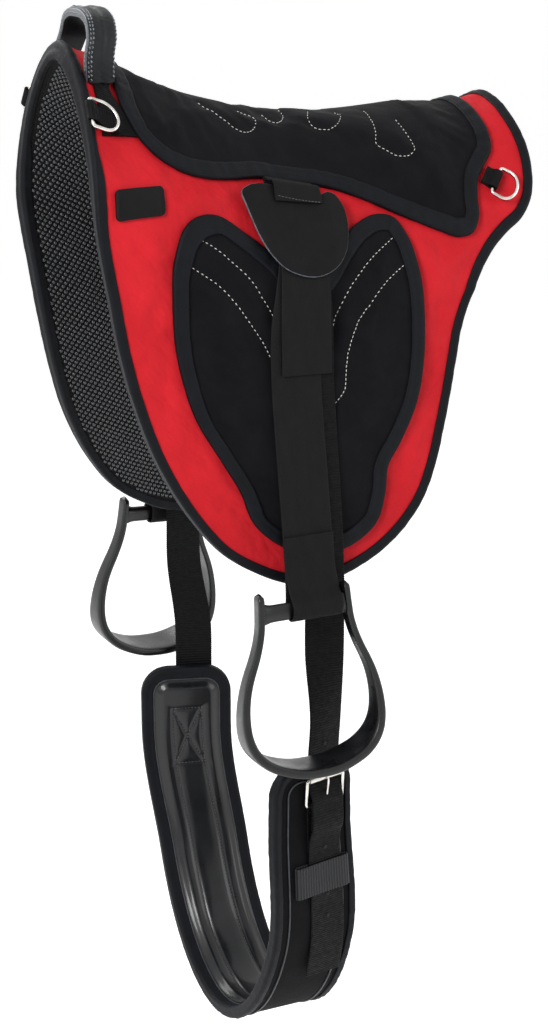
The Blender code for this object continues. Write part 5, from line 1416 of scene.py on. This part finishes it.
# %% Webbing loop and metal loop under each tab
carrier_x, loop_inner_width, carrier_lap = -0.037, 0.0505, 0.012
carrier_radius = loop_half + strap_gap + strap_half


def carrier(side_name, side):
    low = loop_middle - carrier_radius
    path = [(seat_exit_run, low), (0.5 * (seat_exit_run + loop_run), low)]
    path += arc((loop_run, loop_middle), carrier_radius, 270, 450, 10)
    path += [(loop_run - carrier_lap, loop_middle + carrier_radius)]
    rows = strap_rows(path, [carrier_x] * len(path), strap_width, side)
    ribbon(side_name + "_carrier", rows, strap_thickness, "webbing",
           replaces=(side_name + "_loop_chape",))
    half, corner = loop_inner_width / 2 + loop_half, loop_wire
    line = []
    for sx, sr, start in ((1, 1, 0), (-1, 1, 90), (-1, -1, 180), (1, -1, 270)):
        centre = (sx * (half - corner), loop_run + (loop_height - corner if sr > 0 else corner))
        line += arc(centre, corner, start, start + 90, 6)
    points = []
    for a, run in line:
        ends = strap_rows([(run, loop_middle)], [carrier_x], strap_width, side)[0]
        points.append((ends[0] + ends[1]) / 2 + (ends[1] - ends[0]) * a / strap_width)
    tube(side_name + "_loop_wire", points, loop_half, "nickel", 16, True,
         side_name + "_strap", (side_name + "_strap_loop",))


# %% [markdown]
# The stirrup strap goes up to the metal loop, through it and back down, and its lower end is
# looped round the stirrup's bar and sewn. Two flat strips would be simpler, but the folds show
# from the side. One ribbon follows the whole way, from the tail's end to the lower lap.

# %% Stirrup straps
strap_tail_run, strap_overlap = 0.250, 0.060


def stirrup_strap(side_name, side):
    path = [(strap_tail_run, leg_at(strap_tail_run) + strap_pitch)] + tail_line[::-1]
    path += arc((loop_run + loop_height, loop_middle), carrier_radius, 90, 270, 10) + leg_line
    bar = bar_loop_radius + strap_half
    path += arc((bar_run, leg_line[-1][1] + bar), bar, 270, 450, 16)
    for share, lift in ((0.3, strap_gap + bar * 0.5), (0.55, 0), (1.0, 0)):
        run = bar_run - strap_overlap * share
        path += [(run, leg_at(run) + strap_pitch + lift)]
    settle = strap_settle_run - loop_run
    drift = strap_x_by_side[side] - carrier_x
    centre = [carrier_x + drift * float(ease((run - loop_run - loop_height) / settle))
              for run, _ in path]
    for k in range(1 + len(tail_line)):
        centre[k] = carrier_x + (centre[k] - carrier_x) * 0.2
    rows = strap_rows(path, centre, strap_width, side, -side * stirrup_roll_share)
    ribbon(side_name + "_strap_web", rows, strap_thickness, "strap_webbing",
           side_name + "_strap", (side_name + "_stirrup_strap",), teeth=0.00012)


# %% [markdown]
# A leather tab covers the metal loop, so that it does not rub the rider's leg. It lies over
# the loop like a roof, and rests on the pad at its edges. Its cut edge is drawn paler than its
# face, so it gets a thin piece of its own. A short hanger, sewn across, holds it.

# %% Leather tabs with their hangers
tab_top, tab_half_length, tab_thickness, tab_edge_height = 0.104, 0.052, 0.0028, 0.0205
hanger_start, hanger_start_height, hanger_end, hanger_width = 0.0920, 0.0205, 0.116, 0.049
tab_rim = [(0.0006, 0.0001), (-0.00025, 0.0003), (-0.0003, 0.0013), (-0.0002, 0.0020),
           (0.0006, 0.0022)]
tab_outline = even(from_shares(tab_shares, carrier_x, tab_half_length, tab_top, tab_drop),
                   0.002, True)


def leather_height(x, run):
    far = np.abs(x - carrier_x) - loop_inner_width / 2 - loop_wire
    over_tail = np.interp(run, [p[0] for p in tail_line], [p[1] + strap_half for p in tail_line])
    top = np.maximum(carrier_top, over_tail) + 3 * strap_gap
    return tab_edge_height + (top - tab_edge_height) * (1 - ease(far / 0.022))


def leather_tab(side_name, side):
    body = side_name + "_tab"
    cut = Cut(tab_outline, 0.0028)
    low = leather_height(cut.flat[:, 0], cut.flat[:, 1])
    dome = tab_thickness - 0.0007 * (1 - ease(cut.inset / 0.0022))
    cloth_piece(side_name + "_tab_leather", cut, low, low + dome, flap(side), "leather",
                body=body, replaces=(side_name + "_leather_tab",))

    def on_tab(x, run, height):
        return on_back(x, side * run, leather_height(x, run) + height)

    binding(side_name + "_tab_edge", tab_outline, tab_rim, on_tab, pucker=0.0,
            look="cut_edge", body=body)


def hanger(side_name, side):
    body = side_name + "_tab"
    top = float(leather_height(carrier_x, tab_top)) + tab_thickness + strap_gap + strap_half
    path = [(hanger_start, hanger_start_height),
            (0.5 * (hanger_start + tab_top), 0.45 * hanger_start_height + 0.55 * top),
            (tab_top - carrier_lap * 0.3, top), (hanger_end, top)]
    rows = strap_rows(path, [carrier_x] * len(path), hanger_width, side)
    made = ribbon(side_name + "_hanger_web", rows, strap_thickness, "strap_webbing", body,
                  (side_name + "_tab_hanger",), teeth=0.00012)
    reach, seam = hanger_width / 2 - 0.004, hanger_end - 0.0022
    line = [(carrier_x + share * reach, seam) for share in (-1, 0, 1)]
    stitches(side_name + "_hanger_stitches", [line], tree_of(made), flap(side),
             "black_thread", 0.0034, body)


# %% [markdown]
# The near and the far side have the same parts, each made by its own function. A mirrored copy
# would be quicker, but the far strap hangs at another place than the near one.

# %% Everything that hangs on each side
for side_name, side in sides:
    for make in (carrier, stirrup_strap, leather_tab, hanger, stirrup):
        make(side_name, side)

# %% [markdown]
# The billet passes behind the roller, over the bar and through the keeper. As on the pad, the
# heights are worked out first, here above the girth's outer face, as (s, height). The tongue's
# place comes from the same sizes.

# %% Heights of the buckle on the girth's outer face
gap, wall_gap, wire, roller_wall, tongue_wire = 0.0003, 0.0008, 0.0036 / 2, 0.0011, 0.0022
buckle_top, buckle_length, girth_tail_length, tail_lift = 0.012, 0.026, 0.235, 0.0050
buckle_chape_lift, buckle_chape_lap, buckle_chape_tail = 0.0008, 0.024, 0.047
keeper_start, keeper_band, keeper_thickness = 0.0985, 0.033, 0.0015
buckle_low = buckle_top + buckle_length
buckle_bar_height = buckle_chape_lift + webbing_thickness + strap_gap + wire
strap_under_roller = 2 * strap_gap + billet_half
over_edge = lip_gap + tape + strap_gap + billet_half
roller_radius = wire + strap_gap + roller_wall
roller_height = strap_under_roller + billet_half + strap_gap + roller_radius
over_bar = max(wire + gap + tongue_wire, wire + strap_gap + webbing_thickness)
over_bar = buckle_bar_height + over_bar + strap_gap + billet_half
tongue_s = buckle_low - buckle_length * 0.245
keeper_tail_height = gap + keeper_thickness + strap_gap + billet_half
tail_start = keeper_start + keeper_band * 1.5
buckle_line = [
    (-0.045, roller_height), (-wall_gap - tape * 2, over_edge), (buckle_top * 0.52, over_edge),
    (buckle_top * 0.87, strap_under_roller), (buckle_top * 1.25, strap_under_roller),
    (buckle_top + buckle_length * 0.30, 0.75 * strap_under_roller + 0.25 * over_bar),
    (buckle_low - buckle_length * 0.16, over_bar), (buckle_low, over_bar),
    (buckle_low + buckle_chape_lap, over_bar),
    (buckle_low + buckle_chape_lap * 1.35, 0.55 * over_bar + 0.45 * keeper_tail_height),
    (buckle_low + buckle_chape_tail + webbing_thickness, keeper_tail_height + 0.0010),
    (keeper_start, keeper_tail_height), (keeper_start + keeper_band / 2, keeper_tail_height),
    (keeper_start + keeper_band, keeper_tail_height), (tail_start, strap_under_roller)]
buckle_line += [(tail_start + share * (girth_tail_length - tail_start),
                 strap_under_roller + tail_lift * share ** 2)
                for share in (0.2, 0.4, 0.6, 0.8, 1.0)]
print("roller's axis", round(1000 * roller_height, 2), "mm above the girth")

# %% [markdown]
# The girth is a padded band with a taped edge. A ribbon would have square ends, and the real
# ones are rounded, so it is cut like the pad and laid along the girth's path.

# %% Girth's body and binding
girth_width, girth_thickness, girth_corner, girth_lip = 0.090, 0.0085, 0.026, 0.0135 * 0.42
length, half = 2 * girth_half_run, girth_width / 2


def girth_loop(inset):
    line = []
    for s, w, start in ((length, half, 0), (0, half, 90), (0, -half, 180), (length, -half, 270)):
        centre = (s - (1 if s else -1) * girth_corner, w - np.sign(w) * girth_corner)
        line += arc(centre, girth_corner - inset, start, start + 90, 9)
    return dense(line, 0.006)


cut = Cut(girth_loop(0.0), 0.0065)
made = cloth_piece("girth_cloth", cut, -girth_thickness, 0.0006 * ease((cut.inset - 0.010) / 0.01),
                   on_girth, "neoprene", replaces=("girth_body",))
low, lip = -girth_thickness, girth_lip
section = [(lip, 0.0002), (lip, 0.0012), (lip / 2, 0.0019), (0, 0.0020), (-0.0017, 0.0010),
           (-0.0024, low / 2), (-0.0017, low - 0.0010), (0, low - 0.0020),
           (0.0052, low - 0.0019), (0.0100, low - 0.0012), (0.0100, low - 0.0002),
           (0.0052, low - 0.0003), (0, low - 0.0001), (-0.0008, low / 2), (0, 0.0001)]
binding("girth_edge", girth_loop(0.0), section, on_girth, ("girth_binding",), seed=0.6)

# %% [markdown]
# The lining is glossy vinyl over foam, with two sewn channels and a boxed cross at each end.
# The cloth tool would round off such fine seams. So the swell and the creases are worked out
# from the distance to each seam, and the stitches are laid into the creases.

# %% Padded lining of the girth
channel_w, box_middle, box_half, panel_base, panel_swell = 0.0155, 0.072, 0.031, 0.0022, 0.0046
cut = Cut(girth_loop(0.0112), 0.0019)
s, w = cut.flat.T


def crease(away):
    """Share of the padding's height lost near a line of stitches."""
    return 0.13 * np.exp(-(away / 0.0050) ** 2) + 0.30 * np.exp(-(away / 0.0013) ** 2)


between_boxes = ease((np.minimum(s, length - s) - 0.101) / 0.004)
channel = crease(np.abs(w) - channel_w) * between_boxes
folds = 1 + 0.10 * np.sin(s * 63 + 1.2 * np.sin(s * 23)) * np.cos(w * 60)
puff = ease(cut.inset / 0.009) * (1 - channel) * folds
diagonal = float(np.hypot(box_half, channel_w))
for end, sign in ((0.0, 1), (length, -1)):
    at = sign * (s - end) - box_middle
    box = np.maximum(np.abs(at) - box_half, np.abs(w) - channel_w)
    cross = np.minimum(np.abs(at * channel_w - w * box_half),
                       np.abs(at * channel_w + w * box_half)) / diagonal
    puff = puff * (1 - crease(box)) * (1 - (box < 0) * crease(cross))
panel_face = -girth_thickness - panel_base - panel_swell * puff
made = cloth_piece("girth_panel", cut, -girth_thickness - 0.0002, panel_face, on_girth,
                   "vinyl", replaces=("girth_lining",))

# %% [markdown]
# Black stitches run along the channels and across the boxes, and a grey piping edges both
# faces. The piping is a cord in a strip of vinyl, so a thin tube along the edge will do.

# %% Seams and piping of the girth
seams = [[(0.042, w), (length / 2, w), (length - 0.042, w)] for w in (-channel_w, channel_w)]
for end, sign in ((0.0, 1), (length, -1)):
    low_s, high_s = (end + sign * (box_middle + reach * box_half) for reach in (-1, 1))
    seams += [[(q, -channel_w), (q, 0.0), (q, channel_w)] for q in (low_s, high_s)]
    seams += [[(low_s, -channel_w * k), (end + sign * box_middle, 0.0),
               (high_s, channel_w * k)] for k in (-1, 1)]


def under_girth(s, w, height):
    return on_girth(s, w, -girth_thickness - height)


stitches("panel_stitches", seams, tree_of(made), under_girth, "black_thread", 0.0036)
for name, inset, height in (("inner", 0.0104, -girth_thickness - 0.0013),
                            ("outer", 0.0137, 0.0009)):
    line = girth_loop(inset)
    tube("girth_piping_" + name, on_girth(line[:, 0], line[:, 1], height), 0.0009, "piping",
         8, True)

# %% [markdown]
# A billet is a strap with punched holes, which runs from under the seat to the girth's outer
# face. It is one ribbon over both maps. The holes could be cut out, but they are only 4 mm
# wide and lie on dark webbing, so a dark disc of painted shade is laid on each.

# %% Billets and their holes
billet_x, billet_width, hole_pitch, hole_reach, disc_step = -0.031, 0.0381, 0.026, 0.002, 0.0001
buckle_offset, tail_offset = 0.0095, 0.0155


def billet_offset(s):
    drift = ease((s - buckle_low - buckle_chape_tail / 2) / (girth_tail_length - buckle_low))
    return buckle_offset + (tail_offset - buckle_offset) * drift


def billet_height(s):
    return float(np.interp(s, *zip(*buckle_line)))


def billet_hole(s, side):
    """Place, direction and normal of a hole on the billet's outer face."""
    before, at, after = (on_girth(q, billet_offset(q), billet_height(q), side)
                         for q in (s - hole_reach, s, s + hole_reach))
    beside = on_girth(s, billet_offset(s) + 0.01, billet_height(s), side)
    normal = unit(np.cross(unit(after - before), beside - at))
    normal = normal * (-1 if normal[1] * side < 0 else 1)
    return at + normal * (billet_half + disc_step), unit(after - before), normal


def in_sight(s):
    in_keeper = abs(s - keeper_start - keeper_band / 2) < keeper_band / 2
    return s <= girth_tail_length - 0.012 and not in_keeper


for side_name, side in sides:
    rows = list(strap_rows(billet_line, [billet_x] * len(billet_line), billet_width, side))
    for s, h in buckle_line:
        across = billet_offset(s) + np.array([-0.5, 0.5]) * billet_width
        rows.append(on_girth(s, across, h, side))
    ribbon(side_name + "_billet_web", rows, webbing_thickness, "webbing",
           replaces=(side_name + "_billet",), teeth=0.00022)
    holes = [tongue_s + k * hole_pitch for k in (-2, -1, 1, 2, 3, 4, 5)]
    spots, along, up = zip(*[billet_hole(s, side) for s in holes if in_sight(s)])
    # A dark disc on each hole: painted shade for the hole's inside.
    repeat(side_name + "_billet_holes", hole_shape, spots, along, up, "punched", size=2.0)

# %% [markdown]
# The roller buckle is a bent wire frame with a tube on its top bar, so that the strap runs over
# it easily, and a tongue curled round the lower bar. Bevelled boxes would look cast. The parts
# are made as they are bent and rolled: wire along a path, a turned tube, a curled pin.

# %% Places on a buckle
buckle_inner_width = 0.0410
low_bar, top_bar = (buckle_low, buckle_bar_height), (buckle_top, roller_height)
frame_half, frame_corner = buckle_inner_width / 2 + wire, wire * 1.7


def by_buckle(side):
    def place(s, w, h):
        return on_girth(s, buckle_offset + w, h, side)
    return place


# %% [markdown]
# The frame is one wire, bent at four corners and welded. Its two bars stand at different
# heights, so the corners are placed on a slope between them. The roller is a short tube that
# turns on the top bar, so it is a profile turned round that bar's axis.

# %% Frame and roller
def buckle_frame(side_name, side):
    place = by_buckle(side)
    lean = (top_bar[1] - low_bar[1]) / (top_bar[0] - low_bar[0])
    line = []
    for sw, bar, ds, start in ((1, low_bar, -1, 0), (-1, low_bar, -1, 90),
                               (-1, top_bar, 1, 180), (1, top_bar, 1, 270)):
        centre = (sw * (frame_half - frame_corner), bar[0] + ds * frame_corner)
        line += arc(centre, frame_corner, start, start + 90, 7)
    points = [place(s, w, low_bar[1] + lean * (s - low_bar[0])) for w, s in line]
    tube(side_name + "_frame_wire", dense(points, 0.0015), wire, "nickel", 16, True,
         replaces=(side_name + "_buckle_frame",))


def roller(side_name, side):
    place, sides_round = by_buckle(side), 24
    centre = place(top_bar[0], 0, top_bar[1])
    axis = unit(place(top_bar[0], frame_half, top_bar[1])
                - place(top_bar[0], -frame_half, top_bar[1]))
    span, lip = buckle_inner_width / 2 - 0.0006, 0.0005
    half = [(-span, wire + strap_gap), (-span, roller_radius - 0.0004),
            (-span + lip, roller_radius)]
    ends = half + [(-at, radius) for at, radius in half[::-1]]
    down = unit(np.cross(axis, place(top_bar[0], 0, 2 * top_bar[1]) - centre))
    turn = 2 * pi * np.arange(sides_round) / sides_round
    ring = np.cos(turn)[:, None] * down + np.sin(turn)[:, None] * np.cross(down, axis)
    vertices = np.concatenate([centre + axis * at + radius * ring for at, radius in ends])
    piece(side_name + "_roller_tube", vertices, skin(len(ends), sides_round, True), "nickel",
          side_name + "_roller", (side_name + "_buckle_roller",))


# %% [markdown]
# The tongue is a wire pin with an eye curled round the lower bar. It comes up through the
# chape's slot and the billet's hole, and its thinner tip rests on the roller.

# %% Tongue
def tongue(side_name, side):
    place = by_buckle(side)
    eye = wire + gap + tongue_wire / 2
    rest = roller_height + roller_radius + gap + tongue_wire / 2
    path = arc(low_bar, eye, -200, 95, 22)
    path += [(buckle_low - buckle_length * 0.45, (buckle_bar_height + eye + rest) / 2),
             (buckle_top + wire, rest), (buckle_top - wire * 1.5, rest - tongue_wire * 0.2)]
    points = even([place(s, 0, h) for s, h in path], 0.0010)
    taper = np.interp(np.arange(len(points)), [0, len(points) - 7, len(points) - 1],
                      [1, 1, 0.55])
    tube(side_name + "_tongue_wire", points, tongue_wire / 2 * taper, "nickel", 12, False,
         side_name + "_tongue", (side_name + "_buckle_tongue",))


# %% [markdown]
# A chape of webbing folds round the lower bar and holds the buckle to the girth. It is slotted
# for the tongue, so it is made as two ribbons side by side. A ribbed keeper, one closed loop,
# holds the billet's loose end.

# %% Chape and keeper
buckle_chape_width, chape_slot_half = 0.036, 0.0040
keeper_half_width, keeper_offset = 0.031, 0.0065


def buckle_chape(side_name, side):
    place = by_buckle(side)
    loop = wire + strap_gap + billet_half
    legs = [(buckle_low + share * buckle_chape_tail, low_bar[1] - loop) for share in (1, 0.5)]
    legs += arc(low_bar, loop, 270, 90, 10) + [(buckle_low + buckle_chape_lap, low_bar[1] + loop)]
    for name, sw in (("a", -1), ("b", 1)):
        edges = sorted((sw * chape_slot_half, sw * buckle_chape_width / 2))
        ribbon(side_name + "_chape_" + name, [[place(s, w, h) for w in edges] for s, h in legs],
               webbing_thickness, "webbing",
               replaces=(side_name + "_buckle_chape",) if name == "a" else ())


def keeper(side_name, side):
    low = gap + keeper_thickness / 2
    high = keeper_tail_height + billet_half + strap_gap + keeper_thickness / 2
    radius = (high - low) / 2
    flat = keeper_half_width - radius
    path = arc((flat, low + radius), radius, -90, 90, 9)
    path += [(0.4 * flat, high), (0, high), (-0.4 * flat, high)]
    path += arc((-flat, low + radius), radius, 90, 270, 9)
    path += [(-0.4 * flat, low), (0, low), (0.4 * flat, low)]
    rows = [[on_girth(keeper_start + k * keeper_band, keeper_offset + w, h, side)
             for k in (0, 1)] for w, h in path]
    ribbon(side_name + "_keeper_web", rows, keeper_thickness, "keeper",
           replaces=(side_name + "_keeper",), closed=True, teeth=0.0001)


for side_name, side in sides:
    for make in (buckle_frame, roller, tongue, buckle_chape, keeper):
        make(side_name, side)

# %% [markdown]
# A plain studio: a pale floor, a white world and three soft lamps. More light on the object
# would bleach its colours. So the floor and the world are white only for rays that come from
# the camera, a gloss or a clear surface, and the lamps stay at a plain level.

# %% Floor and world
for shape in (stitch_shape, bobble_shape, hole_shape, rim_shape):
    bpy.data.objects.remove(shape)
floor_half, floor_z, floor_glow, world_light = 30, -1.02, 0.6, 0.36


def shown_rays(tree):
    """1 for rays from the camera, a gloss or a clear surface, 0 for light on the object."""
    rays = add(tree, "ShaderNodeLightPath").outputs
    total = rays["Is Camera Ray"]
    for kind in ("Is Glossy Ray", "Is Transmission Ray"):
        total = add(tree, "ShaderNodeMath", {0: total, 1: rays[kind]},
                    operation="MAXIMUM").outputs[0]
    return total


floor_mesh = bpy.data.meshes.new("floor")
corners = [(x * floor_half, y * floor_half, floor_z)
           for x, y in ((-1, -1), (1, -1), (1, 1), (-1, 1))]
floor_mesh.from_pydata(corners, [], [(0, 1, 2, 3)])
pale = bpy.data.materials.new("pale floor")
pale.use_nodes = True
tree = pale.node_tree
paper = tree.nodes["Principled BSDF"].inputs
paper["Base Color"].default_value = rgb("#FBFBFB")
paper["Roughness"].default_value = 0.9
paper["Emission Color"].default_value = rgb("#FFFFFF")
glow = add(tree, "ShaderNodeMath", {0: shown_rays(tree), 1: floor_glow}, operation="MULTIPLY")
tree.links.new(glow.outputs[0], paper["Emission Strength"])
floor_mesh.materials.append(pale)
placed("floor", floor_mesh)

world = bpy.data.worlds.new("studio")
world.use_nodes = True
tree = world.node_tree
sky = tree.nodes["Background"].inputs
sky["Color"].default_value = rgb("#FFFFFF")
level = add(tree, "ShaderNodeMapRange",
            {"Value": shown_rays(tree), "To Min": world_light, "To Max": 1.0})
tree.links.new(level.outputs[0], sky["Strength"])
scene.world = world


# %% [markdown]
# Three softboxes: the key from the camera's left, a weak fill from its right, and one from
# behind for the edges. A sun lamp would throw hard shadows on black cloth.

# %% Lamps
def softbox(name, spot, target, size, power):
    lamp = bpy.data.lights.new(name, "AREA")
    lamp.shape = "RECTANGLE"
    lamp.size, lamp.size_y = size
    lamp.energy = power
    holder = placed(name, lamp)
    holder.location = spot
    away = Vector(target) - Vector(spot)
    holder.rotation_euler = away.to_track_quat("-Z", "Y").to_euler()
    print("softbox", name, power, "W at", round(away.length, 2), "m")


softbox("key", (-2.3, -1.4, 1.2), (0, 0, -0.25), (1.1, 1.1), 62)
softbox("fill", (1.9, -1.5, 0.4), (0, 0, -0.4), (1.4, 1.8), 18)
softbox("back", (-0.6, 2.2, 1.2), (0, 0, -0.3), (1.6, 1.2), 26)

# %% [markdown]
# The camera stands about 2 m off the near side and a little above the pad, as in the photo. Its
# three axes are written out, because they were fitted to points of the object. Blender's view
# helpers would use another frame size.

# %% Camera
lens = bpy.data.cameras.new("camera")
lens.lens, lens.sensor_width, lens.sensor_fit = 77.34, 36, "AUTO"
camera = placed("camera", lens)
right, up, ahead = (Vector(axis) for axis in ((0.9063, -0.4226, 0), (0.1094, 0.2346, 0.9659),
                                              (0.4082, 0.8754, -0.2588)))
turned = Matrix((right, up, -ahead)).transposed().to_4x4()
camera.matrix_world = Matrix.Translation((-0.8828, -1.8806, 0.1959)) @ turned
scene.camera = camera
scene.view_settings.view_transform = "Standard"
